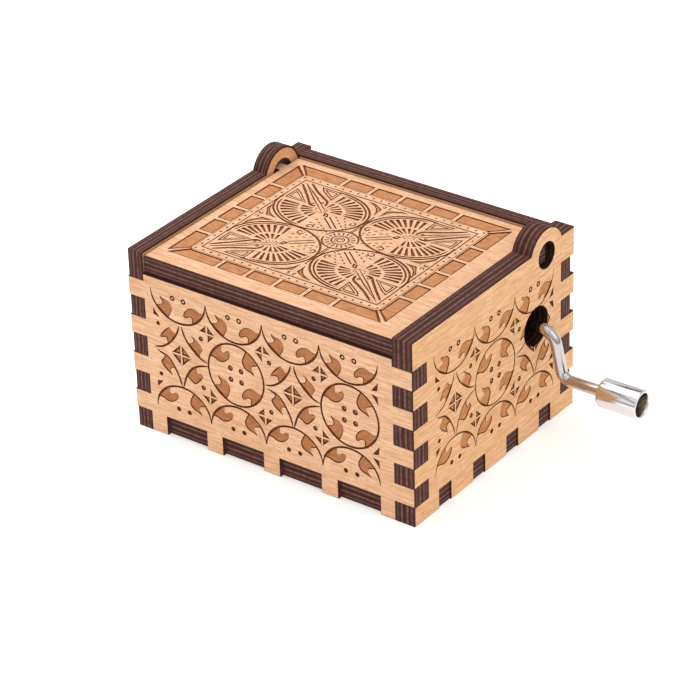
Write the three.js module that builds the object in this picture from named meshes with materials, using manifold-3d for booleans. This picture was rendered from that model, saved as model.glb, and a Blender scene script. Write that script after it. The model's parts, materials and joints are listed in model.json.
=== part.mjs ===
// A hand-cranked music box: a finger-jointed plywood box with a pegged lid, and an
// eighteen-note comb movement that a bent wire crank turns through a worm and wheel.
// Millimetres. +X is the crank side, -Y is the front, +Z is up.
// The origin is the centre of the box's underside.

import * as THREE from 'three';
import { mergeVertices } from 'three/addons/utils/BufferGeometryUtils.js';
import Module from 'manifold-3d';

const wasm = await Module();
wasm.setup();

// ---------------------------------------------------------------- driving dimensions

// Case
const CASE_WIDTH = 65;
const CASE_DEPTH = 53;
const WALL_TOP = 38.6;
const FRONT_THICKNESS = 4.3;
const BACK_THICKNESS = 3.15;
const BACK_INSET = 1.25;
const LEFT_THICKNESS = 3.3;
const RIGHT_THICKNESS = 4.3;
const FLOOR_THICKNESS = 4;
const FRONT_TOP = 34.2;
const FINGER_PITCH = 4.1;
const FINGER_COUNT = 8;
const LEFT_FINGER_PROUD = 0.25;
const JOINT_GAP = 0.04;

// Floor tabs that show in the walls
const WIDE_TAB = { count: 4, pitch: 13.5, width: 9.5, shift: -0.3, recess: 0.8 };
const SMALL_TAB = { count: 4, pitch: 11.1, width: 3.7, shift: -0.2, recess: 0.3 };

// Lid and its hinge
const PIVOT_Y = 17;
const PIVOT_Z = 36.7;
const EAR_RADIUS = 5.5;
const PIVOT_HOLE_RADIUS = 2.65;
const LID_BOTTOM = 34.5;
const LID_THICKNESS = 3.45;
const LID_SIDE_GAP = 0.3;
const LID_FRONT_INSET = 0.4;
const LID_REAR_GAP = 0.3;
const PEG_HALF_WIDTH = 1.3;
const PEG_RECESS = 1.2;

// Crank
const CRANK_Y = 13.5;
const CRANK_Z = 23.1;
const CRANK_HOLE_RADIUS = 4;
const WIRE_RADIUS = 1.15;
const WIRE_INNER_X = 19.7;
const CRANK_ELBOW_X = 36.4;
const CRANK_ARM_SLANT = 2.1;
const CRANK_ARM_DROP = 9.4;
const KNOB_INNER_X = 47.3;
const KNOB_OUTER_X = 56;
const KNOB_RADIUS = 2.9;
const KNOB_BORE_RADIUS = 2.25;
const KNOB_FLOOR = 1.2;
const KNOB_PLAY = 0.15;
const KNOB_BEVEL = 0.15;
const ELBOW_FILLET = 3.2;
const GRIP_FILLET = 2.2;
const WIRE_HEAD = { radius: 1.7, thickness: 0.8 };
const WASHER_THICKNESS = 0.4;
const WASHER_RADIUS = 1.95;

// Worm and wheel
const WHEEL_TEETH = 16;
const GEAR_MODULE = 0.8;
const WORM_PITCH_RADIUS = 2.4;
const TOOTH_HEIGHT = 0.6;
const TOOTH_CLEARANCE = 0.25;
const WHEEL_WIDTH = 3.4;
const WORM_LENGTH = 10;
const HUB_RADIUS = 2.6;

// Drum and comb
const DRUM_X = 8;
const DRUM_RADIUS = 6.5;
const DRUM_WALL = 0.6;
const DRUM_LENGTH = 19;
const ARBOR_RADIUS = 1;
const NOTE_COUNT = 18;
const NOTE_PITCH = 1;
const PINS_PER_NOTE = 4;
const PIN_WIDTH = 0.4;
const PIN_HEIGHT = 0.9;
const COMB_TIP_GAP = 0.25;
const COMB_THICKNESS = 0.8;
const COMB_TOOTH_WIDTH = 0.68;
const COMB_HEEL_X = -18.8;
const COMB_MARGIN = 0.5;
const SHORT_TOOTH = 8.5;
const LONG_TOOTH = 12.2;
const TOOTH_WEIGHTS = { count: 8, deep: 2.6, shallow: 1, near: 1.4, far: 4.4, halfWidth: 0.3 };
const CAP = { halfThickness: 0.6, collar: 1.2, collarHeight: 0.5, inset: 0.9, play: 0.05 };
const ARBOR = { front: -14.6, rear: 19.8, chamfer: 0.3 };

// Bedplate and brackets
const BED = { left: -20, right: 24.5, front: -18.5, back: 21.8, thickness: 2.5, corner: 2.5 };
const BRACKET_THICKNESS = 1.6;
const WORM_BRACKET = { inner: 9, footEnd: 15.9, halfWidth: 3.1, rise: 3.4 };
const DRUM_BRACKETS = {
  halfWidth: 5,
  rise: 3.2,
  front: { upright: -13.4, footStart: -18 },
  rear: { upright: 17.2, footEnd: 21.7 },
};
const BUSH = { radius: 2.2, flange: 0.7, flangeThickness: 0.6, proud: 0.1 };
const JOURNAL_RADIUS = 1.5;
const RUNNING_CLEARANCE = 0.07;
const WIRE_FIT = 0.08;

// ---------------------------------------------------------------- derived dimensions

const HALF_WIDTH = CASE_WIDTH / 2;
const FRONT_Y = -CASE_DEPTH / 2;
const REAR_Y = CASE_DEPTH / 2;
const FRONT_INNER_Y = FRONT_Y + FRONT_THICKNESS;
const BACK_OUTER_Y = REAR_Y - BACK_INSET;
const BACK_INNER_Y = BACK_OUTER_Y - BACK_THICKNESS;
const LEFT_INNER_X = -HALF_WIDTH + LEFT_THICKNESS;
const RIGHT_INNER_X = HALF_WIDTH - RIGHT_THICKNESS;
const WORM_LEAD = Math.PI * GEAR_MODULE;
const WHEEL_PITCH_RADIUS = (WHEEL_TEETH * GEAR_MODULE) / 2;
const DRUM_Z = CRANK_Z - WHEEL_PITCH_RADIUS - WORM_PITCH_RADIUS;
const BED_TOP = FLOOR_THICKNESS + BED.thickness;
const COMB_TIP_X = DRUM_X - DRUM_RADIUS - PIN_HEIGHT - COMB_TIP_GAP;
const KNOB_Z = CRANK_Z - CRANK_ARM_DROP;

// Segments round a circle
const EXTRA_FINE = 36;
const FINE = 24;
const MEDIUM = 20;
const SMALL = 12;
const WIRE_SIDES = 10;

// ---------------------------------------------------------------- materials

function finish(color, roughness, metalness) {
  return new THREE.MeshStandardMaterial({ color, roughness, metalness });
}

const wood = () => finish(0xe2b886, 0.7, 0);
const chrome = () => finish(0xd9d6d4, 0.15, 1);
const steel = () => finish(0xb9bcc0, 0.35, 1);
const brass = () => finish(0xcfa64e, 0.3, 1);
const zinc = () => finish(0x9a9da0, 0.5, 1);
const nylon = () => finish(0xf0ede2, 0.5, 0);

// ---------------------------------------------------------------- solid helpers

function toSolid(geometry) {
  const bare = geometry.index ? geometry.clone() : geometry;
  bare.deleteAttribute('normal');
  bare.deleteAttribute('uv');
  const merged = mergeVertices(bare, 1e-4);
  return new wasm.Manifold(new wasm.Mesh({
    numProp: 3,
    vertProperties: new Float32Array(merged.attributes.position.array),
    triVerts: new Uint32Array(merged.index.array),
  }));
}

function toGeometry(solid) {
  const mesh = solid.getMesh();
  const geometry = new THREE.BufferGeometry();
  geometry.setAttribute('position', new THREE.BufferAttribute(new Float32Array(mesh.vertProperties), 3));
  geometry.setIndex(new THREE.BufferAttribute(new Uint32Array(mesh.triVerts), 1));
  return geometry;
}

function join(first, ...others) {
  return toGeometry(others.reduce((sum, other) => sum.add(toSolid(other)), toSolid(first)));
}

function cut(body, ...tools) {
  return toGeometry(tools.reduce((rest, tool) => rest.subtract(toSolid(tool)), toSolid(body)));
}

// A box given by its lowest and highest corners.
function block(x0, x1, y0, y1, z0, z1) {
  const geometry = new THREE.BoxGeometry(x1 - x0, y1 - y0, z1 - z0);
  geometry.translate((x0 + x1) / 2, (y0 + y1) / 2, (z0 + z1) / 2);
  return geometry;
}

// A rod along one axis between two stations, centred on the other two coordinates.
function rodX(radius, x0, x1, y, z, segments = MEDIUM) {
  const geometry = new THREE.CylinderGeometry(radius, radius, x1 - x0, segments);
  geometry.rotateZ(-Math.PI / 2);
  return geometry.translate((x0 + x1) / 2, y, z);
}

function rodY(radius, y0, y1, x, z, segments = MEDIUM) {
  const geometry = new THREE.CylinderGeometry(radius, radius, y1 - y0, segments);
  return geometry.translate(x, (y0 + y1) / 2, z);
}

function rodZ(radius, z0, z1, x, y, segments = MEDIUM) {
  const geometry = new THREE.CylinderGeometry(radius, radius, z1 - z0, segments);
  geometry.rotateX(Math.PI / 2);
  return geometry.translate(x, y, (z0 + z1) / 2);
}

// A turned piece: [radius, station] pairs, with the axis along the lathe's own Y.
function turned(profile, segments = MEDIUM) {
  return new THREE.LatheGeometry(profile.map(([r, s]) => new THREE.Vector2(r, s)), segments);
}

function plate(points, thickness, holes = []) {
  const shape = new THREE.Shape(points.map(([u, v]) => new THREE.Vector2(u, v)));
  for (const { u, v, radius } of holes) {
    const hole = new THREE.Path();
    hole.absarc(u, v, radius, 0, 2 * Math.PI, true);
    shape.holes.push(hole);
  }
  return new THREE.ExtrudeGeometry(shape, { depth: thickness, bevelEnabled: false, curveSegments: SMALL });
}

const musicBox = new THREE.Group();

function add(parent, name, geometry, material) {
  const mesh = new THREE.Mesh(geometry, material);
  mesh.name = name;
  parent.add(mesh);
  return mesh;
}

// ---------------------------------------------------------------- case panels

// The walls meet in fingers of one pitch. Even steps belong to the side walls, odd steps to
// the front and back. The outline is walked up one edge and down the other.
function fingerEdge(top, oddOut, evenOut) {
  const edge = [];
  for (let step = 0; step <= FINGER_COUNT; step += 1) {
    const odd = step % 2 === 1;
    const reach = odd ? oddOut : evenOut;
    const gap = odd ? JOINT_GAP : -JOINT_GAP;
    const low = step === 0 ? 0 : step * FINGER_PITCH + gap;
    const high = step === FINGER_COUNT ? top : (step + 1) * FINGER_PITCH - gap;
    edge.push([reach, low], [reach, high]);
  }
  return edge;
}

function tabCentres(tab) {
  return Array.from({ length: tab.count }, (_, i) => tab.shift + (i - (tab.count - 1) / 2) * tab.pitch);
}

// The bottom edge from low u to high u, notched for the floor's tabs.
function notchedBottom(tab) {
  const edge = [];
  const half = tab.width / 2 + JOINT_GAP;
  const depth = FLOOR_THICKNESS + JOINT_GAP;
  for (const centre of tabCentres(tab)) {
    edge.push([centre - half, 0], [centre - half, depth], [centre + half, depth], [centre + half, 0]);
  }
  return edge;
}

function crossPanel(top, leftTip, rightTip) {
  const leftShoulder = LEFT_INNER_X + JOINT_GAP;
  const rightShoulder = RIGHT_INNER_X - JOINT_GAP;
  return [
    ...notchedBottom(WIDE_TAB),
    ...fingerEdge(top, rightTip, rightShoulder),
    ...fingerEdge(top, leftTip, leftShoulder).reverse(),
  ];
}

// The rounded ear that stands above the wall's top, from back to front.
function earArc() {
  const start = Math.asin((WALL_TOP - PIVOT_Z) / EAR_RADIUS);
  return Array.from({ length: MEDIUM + 1 }, (_, i) => {
    const angle = start + (i / MEDIUM) * (Math.PI - 2 * start);
    return [PIVOT_Y + EAR_RADIUS * Math.cos(angle), PIVOT_Z + EAR_RADIUS * Math.sin(angle)];
  });
}

function sidePanel() {
  const frontShoulder = FRONT_INNER_Y + JOINT_GAP;
  const backShoulder = BACK_INNER_Y - JOINT_GAP;
  return [
    ...notchedBottom(SMALL_TAB),
    ...fingerEdge(WALL_TOP, backShoulder, REAR_Y),
    ...earArc(),
    ...fingerEdge(WALL_TOP, frontShoulder, FRONT_Y).reverse(),
  ];
}

function floorPanel() {
  const left = LEFT_INNER_X + JOINT_GAP;
  const right = RIGHT_INNER_X - JOINT_GAP;
  const front = FRONT_INNER_Y + JOINT_GAP;
  const back = BACK_INNER_Y - JOINT_GAP;
  const tabs = (tab, from, to) => tabCentres(tab).flatMap((c) => [
    [c - tab.width / 2, from], [c - tab.width / 2, to], [c + tab.width / 2, to], [c + tab.width / 2, from],
  ]);
  const flip = (pairs) => pairs.map(([a, b]) => [b, a]);
  return [
    [left, front],
    ...tabs(WIDE_TAB, front, FRONT_Y + WIDE_TAB.recess),
    [right, front],
    ...flip(tabs(SMALL_TAB, right, HALF_WIDTH - SMALL_TAB.recess)),
    [right, back],
    ...tabs(WIDE_TAB, back, BACK_OUTER_Y - SMALL_TAB.recess).reverse(),
    [left, back],
    ...flip(tabs(SMALL_TAB, left, -HALF_WIDTH + SMALL_TAB.recess)).reverse(),
  ];
}

// Mounting screws come up through the floor, at these places, into bosses on the bedplate.
const MOUNTING_PLACES = [[-16, -15], [-16, 15.5], [20.5, -12]];
const MOUNTING_SCREW = { headRadius: 2.4, headHeight: 1.3, shankRadius: 1.25, length: 5.6, sunk: 0.3 };
const MOUNTING_HOLE_CLEARANCE = 0.15;
const MOUNTING_HEAD_CLEARANCE = 0.25;
const BOSS = { radius: 2.8, height: 2.6 };
const THROUGH = 1;

// A front or back wall, whose rear face is at one y.
function crossWall(name, outline, thickness, rearY) {
  const panel = add(musicBox, name, plate(outline, thickness), wood());
  panel.rotation.x = Math.PI / 2;
  panel.position.y = rearY;
}

// A side wall, whose left face is at one x.
function sideWall(name, thickness, lowX, holes) {
  const panel = add(musicBox, name, plate(sidePanel(), thickness, holes), wood());
  panel.rotation.set(Math.PI / 2, Math.PI / 2, 0);
  panel.position.x = lowX;
}

function buildCase() {
  const leftTip = -HALF_WIDTH - LEFT_FINGER_PROUD;
  const pivotHole = { u: PIVOT_Y, v: PIVOT_Z, radius: PIVOT_HOLE_RADIUS };
  const crankHole = { u: CRANK_Y, v: CRANK_Z, radius: CRANK_HOLE_RADIUS };
  crossWall('front_panel', crossPanel(FRONT_TOP, leftTip, HALF_WIDTH), FRONT_THICKNESS, FRONT_INNER_Y);
  crossWall('back_panel', crossPanel(WALL_TOP, leftTip, HALF_WIDTH), BACK_THICKNESS, BACK_OUTER_Y);
  sideWall('left_panel', LEFT_THICKNESS, -HALF_WIDTH, [pivotHole]);
  sideWall('right_panel', RIGHT_THICKNESS, RIGHT_INNER_X, [pivotHole, crankHole]);

  const shankHole = MOUNTING_SCREW.shankRadius + MOUNTING_HOLE_CLEARANCE;
  const headHole = MOUNTING_SCREW.headRadius + MOUNTING_HEAD_CLEARANCE;
  const underHead = MOUNTING_SCREW.sunk + MOUNTING_SCREW.headHeight;
  const bores = MOUNTING_PLACES.flatMap(([x, y]) => [
    rodZ(shankHole, -THROUGH, FLOOR_THICKNESS + THROUGH, x, y),
    rodZ(headHole, -THROUGH, underHead, x, y),
  ]);
  add(musicBox, 'bottom_panel', cut(plate(floorPanel(), FLOOR_THICKNESS), ...bores), wood());
}

// ---------------------------------------------------------------- lid

function buildLid() {
  const left = LEFT_INNER_X + LID_SIDE_GAP;
  const right = RIGHT_INNER_X - LID_SIDE_GAP;
  const front = FRONT_Y + LID_FRONT_INSET;
  const back = BACK_INNER_Y - LID_REAR_GAP;
  const leftPeg = -HALF_WIDTH + PEG_RECESS;
  const rightPeg = HALF_WIDTH - PEG_RECESS;
  const pegFront = PIVOT_Y - PEG_HALF_WIDTH;
  const pegBack = PIVOT_Y + PEG_HALF_WIDTH;
  const outline = [
    [left, front], [right, front],
    [right, pegFront], [rightPeg, pegFront], [rightPeg, pegBack], [right, pegBack],
    [right, back], [left, back],
    [left, pegBack], [leftPeg, pegBack], [leftPeg, pegFront], [left, pegFront],
  ];
  const lid = add(musicBox, 'lid_panel', plate(outline, LID_THICKNESS), wood());
  lid.position.z = LID_BOTTOM;
}

// ---------------------------------------------------------------- screws

const SLOT_HALF_WIDTH = 0.25;

// A slotted pan-head screw whose axis is the local Z, with the head's underside at z = 0.
function screwGeometry({ headRadius, headHeight, shankRadius, length }) {
  const point = shankRadius * 0.6;
  const shoulder = headHeight * 0.6;
  const crown = headRadius * 0.8;
  const profile = [
    [0, -length], [point, -length], [shankRadius, -length + shankRadius / 2],
    [shankRadius, 0], [headRadius, 0], [headRadius, shoulder], [crown, headHeight], [0, headHeight],
  ];
  const body = turned(profile, SMALL).rotateX(Math.PI / 2);
  const reach = headRadius + THROUGH;
  const top = headHeight + THROUGH;
  const slot = block(-reach, reach, -SLOT_HALF_WIDTH, SLOT_HALF_WIDTH, headHeight / 2, top);
  return cut(body, slot);
}

function addScrew(name, spec, x, y, z, upsideDown = false) {
  const screw = add(musicBox, name, screwGeometry(spec), steel());
  screw.position.set(x, y, z);
  if (upsideDown) screw.rotation.x = Math.PI;
}

const BRACKET_SCREW = { headRadius: 1.35, headHeight: 1, shankRadius: 0.75, length: 3.4 };
const COMB_SCREW = { headRadius: 1.7, headHeight: 1.2, shankRadius: 0.9, length: 4.5 };
const SCREW_CLEARANCE = 0.12;
const HEAD_LIFT = 0.02;
const HOLE_FLOOR = 0.4;
const BOLT_HOLE_SPARE = 0.3;
const ROOTED = 0.5;

// ---------------------------------------------------------------- bedplate

const COMB_SEAT = { left: -19, right: -12.6, front: -10, back: 9.8 };
const COMB_SCREW_X = -15.9;
const COMB_SCREW_YS = [-7, 0, 7];
const WORM_FOOT_SCREW_OFFSET = 13.2;
const FRONT_FOOT_SCREW_Y = -16;
const REAR_FOOT_SCREW_Y = 20.35;

function bracketScrewPlaces() {
  return {
    worm_screw_left: [DRUM_X - WORM_FOOT_SCREW_OFFSET, CRANK_Y],
    worm_screw_right: [DRUM_X + WORM_FOOT_SCREW_OFFSET, CRANK_Y],
    drum_screw_front: [DRUM_X, FRONT_FOOT_SCREW_Y],
    drum_screw_rear: [DRUM_X, REAR_FOOT_SCREW_Y],
  };
}

function roundedRectangle(x0, x1, y0, y1, radius) {
  const corners = [[x1 - radius, y0 + radius, -90], [x1 - radius, y1 - radius, 0],
    [x0 + radius, y1 - radius, 90], [x0 + radius, y0 + radius, 180]];
  return corners.flatMap(([cx, cy, start]) => [0, 30, 60, 90].map((turn) => {
    const angle = THREE.MathUtils.degToRad(start + turn);
    return [cx + radius * Math.cos(angle), cy + radius * Math.sin(angle)];
  }));
}

function buildBedplate() {
  const slab = plate(roundedRectangle(BED.left, BED.right, BED.front, BED.back, BED.corner), BED.thickness);
  slab.translate(0, 0, FLOOR_THICKNESS);
  const sunk = BED_TOP - ROOTED;
  const seat = block(COMB_SEAT.left, COMB_SEAT.right, COMB_SEAT.front, COMB_SEAT.back, sunk, DRUM_Z);
  const bosses = MOUNTING_PLACES.map(([x, y]) => rodZ(BOSS.radius, sunk, BED_TOP + BOSS.height, x, y));
  const underHead = MOUNTING_SCREW.sunk + MOUNTING_SCREW.headHeight;
  const boltTop = underHead + MOUNTING_SCREW.length + BOLT_HOLE_SPARE;
  const hole = (spec, z0, z1) => ([x, y]) => (
    rodZ(spec.shankRadius + SCREW_CLEARANCE, z0, z1, x, y, SMALL));
  const bores = [
    ...MOUNTING_PLACES.map(hole(MOUNTING_SCREW, 0, boltTop)),
    ...Object.values(bracketScrewPlaces()).map(
      hole(BRACKET_SCREW, FLOOR_THICKNESS + HOLE_FLOOR, BED_TOP + THROUGH)),
    ...COMB_SCREW_YS.map((y) => [COMB_SCREW_X, y]).map(
      hole(COMB_SCREW, DRUM_Z - COMB_SCREW.length, DRUM_Z + THROUGH)),
  ];
  add(musicBox, 'bedplate', cut(join(slab, seat, ...bosses), ...bores), zinc());

  MOUNTING_PLACES.forEach(([x, y], i) => {
    addScrew(`mounting_screw_${i + 1}`, MOUNTING_SCREW, x, y, underHead, true);
  });
}

// ---------------------------------------------------------------- brackets and bushes

const FOOT_TOP = BED_TOP + BRACKET_THICKNESS;

// A pressed bracket: an upright joined to a foot, bored for a shaft and drilled for a screw.
function addBracket(name, upright, foot, bore, [screwX, screwY]) {
  const screwHole = rodZ(
    BRACKET_SCREW.shankRadius + SCREW_CLEARANCE, 0, FOOT_TOP + THROUGH, screwX, screwY, SMALL);
  add(musicBox, name, cut(join(upright, foot), bore, screwHole), steel());
}

function bushGeometry() {
  const bore = JOURNAL_RADIUS + RUNNING_CLEARANCE;
  const { radius, flange } = BUSH;
  const seat = BRACKET_THICKNESS + BUSH.proud;
  const end = seat + BUSH.flangeThickness;
  const profile = [
    [bore, 0], [radius, 0], [radius, seat], [radius + flange, seat], [radius + flange, end],
    [bore, end], [bore, 0],
  ];
  return turned(profile, FINE);
}

function buildWormBracket(side, sign, screwPlace) {
  const { inner, footEnd, halfWidth, rise } = WORM_BRACKET;
  const span = (a, b) => (sign > 0 ? [DRUM_X + a, DRUM_X + b] : [DRUM_X - b, DRUM_X - a]);
  const [u0, u1] = span(inner, inner + BRACKET_THICKNESS);
  const [f0, f1] = span(inner, footEnd);
  const front = CRANK_Y - halfWidth;
  const back = CRANK_Y + halfWidth;
  const upright = block(u0, u1, front, back, BED_TOP, CRANK_Z + rise);
  const foot = block(f0, f1, front, back, BED_TOP, FOOT_TOP);
  const bore = rodX(BUSH.radius + JOINT_GAP, u0 - THROUGH, u1 + THROUGH, CRANK_Y, CRANK_Z, FINE);
  addBracket(`worm_bracket_${side}`, upright, foot, bore, screwPlace);

  const bush = add(musicBox, `worm_bush_${side}`, bushGeometry(), brass());
  bush.rotation.z = (-sign * Math.PI) / 2;
  bush.position.set(DRUM_X + sign * inner, CRANK_Y, CRANK_Z);
}

function buildDrumBracket(side, uprightY, footStart, footEnd, screwPlace) {
  const { halfWidth, rise } = DRUM_BRACKETS;
  const left = DRUM_X - halfWidth;
  const right = DRUM_X + halfWidth;
  const upright = block(left, right, uprightY, uprightY + BRACKET_THICKNESS, BED_TOP, DRUM_Z + rise);
  const foot = block(left, right, footStart, footEnd, BED_TOP, FOOT_TOP);
  const far = uprightY + BRACKET_THICKNESS + THROUGH;
  const bore = rodY(ARBOR_RADIUS + RUNNING_CLEARANCE, uprightY - THROUGH, far, DRUM_X, DRUM_Z, FINE);
  addBracket(`drum_bracket_${side}`, upright, foot, bore, screwPlace);
}

function buildBrackets() {
  const places = bracketScrewPlaces();
  const { front, rear } = DRUM_BRACKETS;
  buildWormBracket('left', -1, places.worm_screw_left);
  buildWormBracket('right', 1, places.worm_screw_right);
  const frontEnd = front.upright + BRACKET_THICKNESS;
  buildDrumBracket('front', front.upright, front.footStart, frontEnd, places.drum_screw_front);
  buildDrumBracket('rear', rear.upright, rear.upright, rear.footEnd, places.drum_screw_rear);
  for (const [name, [x, y]] of Object.entries(places)) {
    addScrew(name, BRACKET_SCREW, x, y, FOOT_TOP + HEAD_LIFT);
  }
}

// ---------------------------------------------------------------- comb

function noteY(index) {
  return (index - (NOTE_COUNT - 1) / 2) * NOTE_PITCH;
}

// The teeth point at the drum. The low notes, at the front, have long teeth with weights.
function buildComb() {
  const half = COMB_TOOTH_WIDTH / 2;
  const outline = [[COMB_HEEL_X, noteY(0) - COMB_MARGIN]];
  for (let note = 0; note < NOTE_COUNT; note += 1) {
    const root = COMB_TIP_X - THREE.MathUtils.lerp(LONG_TOOTH, SHORT_TOOTH, note / (NOTE_COUNT - 1));
    const y = noteY(note);
    outline.push([root, y - half], [COMB_TIP_X, y - half], [COMB_TIP_X, y + half], [root, y + half]);
  }
  outline.push([COMB_HEEL_X, noteY(NOTE_COUNT - 1) + COMB_MARGIN]);
  const sheet = plate(outline, COMB_THICKNESS).translate(0, 0, DRUM_Z);

  const { count, deep, shallow, near, far, halfWidth } = TOOTH_WEIGHTS;
  const weights = Array.from({ length: count }, (_, note) => {
    const low = DRUM_Z - THREE.MathUtils.lerp(deep, shallow, note / (count - 1));
    const high = DRUM_Z + COMB_THICKNESS / 4;
    const y = noteY(note);
    return block(COMB_TIP_X - far, COMB_TIP_X - near, y - halfWidth, y + halfWidth, low, high);
  });
  const holeRadius = COMB_SCREW.shankRadius + SCREW_CLEARANCE;
  const above = DRUM_Z + COMB_THICKNESS + THROUGH;
  const bores = COMB_SCREW_YS.map((y) => (
    rodZ(holeRadius, DRUM_Z - THROUGH, above, COMB_SCREW_X, y, SMALL)));
  add(musicBox, 'comb', cut(join(sheet, ...weights), ...bores), steel());

  COMB_SCREW_YS.forEach((y, i) => {
    addScrew(`comb_screw_${i + 1}`, COMB_SCREW, COMB_SCREW_X, y, DRUM_Z + COMB_THICKNESS + HEAD_LIFT);
  });
}

// ---------------------------------------------------------------- drum and wheel

// Pins stand where an arithmetic sequence puts them, four to a note.
const GOLDEN_ANGLE = Math.PI * (3 - Math.sqrt(5));
const PIN_SCATTER = { reach: 0.35, perNote: 1.7, perPin: 2.3 };

function pinAngle(note, pin) {
  const quarter = (pin * 2 * Math.PI) / PINS_PER_NOTE;
  const phase = note * PIN_SCATTER.perNote + pin * PIN_SCATTER.perPin;
  return note * GOLDEN_ANGLE * 2 + quarter + PIN_SCATTER.reach * Math.sin(phase);
}

function drumPin(note, pin) {
  const foot = DRUM_RADIUS - DRUM_WALL / 2;
  const tip = DRUM_RADIUS + PIN_HEIGHT;
  const half = PIN_WIDTH / 2;
  const geometry = block(-half, half, noteY(note) - half, noteY(note) + half, foot, tip);
  return geometry.rotateY(pinAngle(note, pin));
}

// Half a tooth's width, as a share of the pitch, at its root and at its tip.
const ROOT_SHARE = 0.29;
const TIP_SHARE = 0.115;
const WHEEL_SLICES = 4;

function wheelGeometry() {
  const tip = WHEEL_PITCH_RADIUS + TOOTH_HEIGHT;
  const root = WHEEL_PITCH_RADIUS - TOOTH_HEIGHT - TOOTH_CLEARANCE;
  const toothAngle = (2 * Math.PI) / WHEEL_TEETH;
  const tooth = [[root, -ROOT_SHARE], [tip, -TIP_SHARE], [tip, TIP_SHARE], [root, ROOT_SHARE]];
  const outline = [];
  for (let count = 0; count < WHEEL_TEETH; count += 1) {
    for (const [radius, share] of tooth) {
      const angle = Math.PI / 2 + (count + share) * toothAngle;
      outline.push([radius * Math.cos(angle), radius * Math.sin(angle)]);
    }
  }
  const shape = new THREE.Shape(outline.map(([u, v]) => new THREE.Vector2(u, v)));
  const options = { depth: WHEEL_WIDTH, bevelEnabled: false, steps: WHEEL_SLICES };
  return new THREE.ExtrudeGeometry(shape, options).translate(0, 0, -WHEEL_WIDTH / 2);
}

// Local z runs to -Y once the wheel stands up, so the teeth lean to follow the worm's thread.
function twist(geometry, anglePerLength) {
  const position = geometry.attributes.position;
  for (let i = 0; i < position.count; i += 1) {
    const angle = anglePerLength * position.getZ(i);
    const x = position.getX(i);
    const y = position.getY(i);
    position.setX(i, x * Math.cos(angle) - y * Math.sin(angle));
    position.setY(i, x * Math.sin(angle) + y * Math.cos(angle));
  }
  return geometry;
}

function drumGeometry() {
  const half = DRUM_LENGTH / 2;
  const inner = DRUM_RADIUS - DRUM_WALL;
  const wall = [[inner, -half], [DRUM_RADIUS, -half], [DRUM_RADIUS, half], [inner, half], [inner, -half]];
  const pins = [];
  for (let note = 0; note < NOTE_COUNT; note += 1) {
    for (let pin = 0; pin < PINS_PER_NOTE; pin += 1) pins.push(drumPin(note, pin));
  }
  return join(turned(wall, EXTRA_FINE), ...pins);
}

function capGeometry() {
  const bore = ARBOR_RADIUS + JOINT_GAP;
  const rim = DRUM_RADIUS - DRUM_WALL - CAP.play;
  const collar = ARBOR_RADIUS + CAP.collar;
  const thick = CAP.halfThickness;
  const top = thick + CAP.collarHeight;
  return turned([
    [bore, -thick], [rim, -thick], [rim, thick], [collar, thick], [collar, top], [bore, top], [bore, -thick],
  ]);
}

function arborGeometry() {
  const { front, rear, chamfer } = ARBOR;
  const tip = ARBOR_RADIUS - chamfer;
  return turned([
    [0, front], [tip, front], [ARBOR_RADIUS, front + chamfer],
    [ARBOR_RADIUS, rear - chamfer], [tip, rear], [0, rear],
  ]);
}

function toothedWheelGeometry() {
  const lead = Math.atan(WORM_LEAD / (2 * Math.PI * WORM_PITCH_RADIUS));
  const teeth = twist(wheelGeometry(), Math.tan(lead) / WHEEL_PITCH_RADIUS);
  const halfWidth = WHEEL_WIDTH / 2;
  const hub = rodZ(HUB_RADIUS, -halfWidth - 1, halfWidth + 0.9, 0, 0);
  const bore = rodZ(ARBOR_RADIUS + JOINT_GAP, -WHEEL_WIDTH, WHEEL_WIDTH, 0, 0);
  return cut(join(teeth, hub), bore);
}

function buildDrum() {
  const drum = new THREE.Group();
  drum.position.set(DRUM_X, 0, DRUM_Z);
  musicBox.add(drum);
  add(drum, 'drum', drumGeometry(), brass());

  const capY = DRUM_LENGTH / 2 - CAP.inset;
  const frontCap = add(drum, 'drum_cap_front', capGeometry(), brass());
  frontCap.position.y = -capY;
  frontCap.rotation.x = Math.PI;
  const rearCap = add(drum, 'drum_cap_rear', capGeometry(), brass());
  rearCap.position.y = capY;

  add(drum, 'drum_arbor', arborGeometry(), steel());
  const wheel = add(drum, 'worm_wheel', toothedWheelGeometry(), nylon());
  wheel.rotation.x = Math.PI / 2;
  wheel.position.y = CRANK_Y;
}

// ---------------------------------------------------------------- crank

// One thread wound round a core, right-handed, along the local Z. Its crest faces -Y at
// half a lead from the middle, so that a wheel tooth meets a valley there.
const WORM_SIDES = 18;
const RINGS_PER_LEAD = 9;
const THREAD = { halfBase: 0.28, flank: 0.16 };

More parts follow.
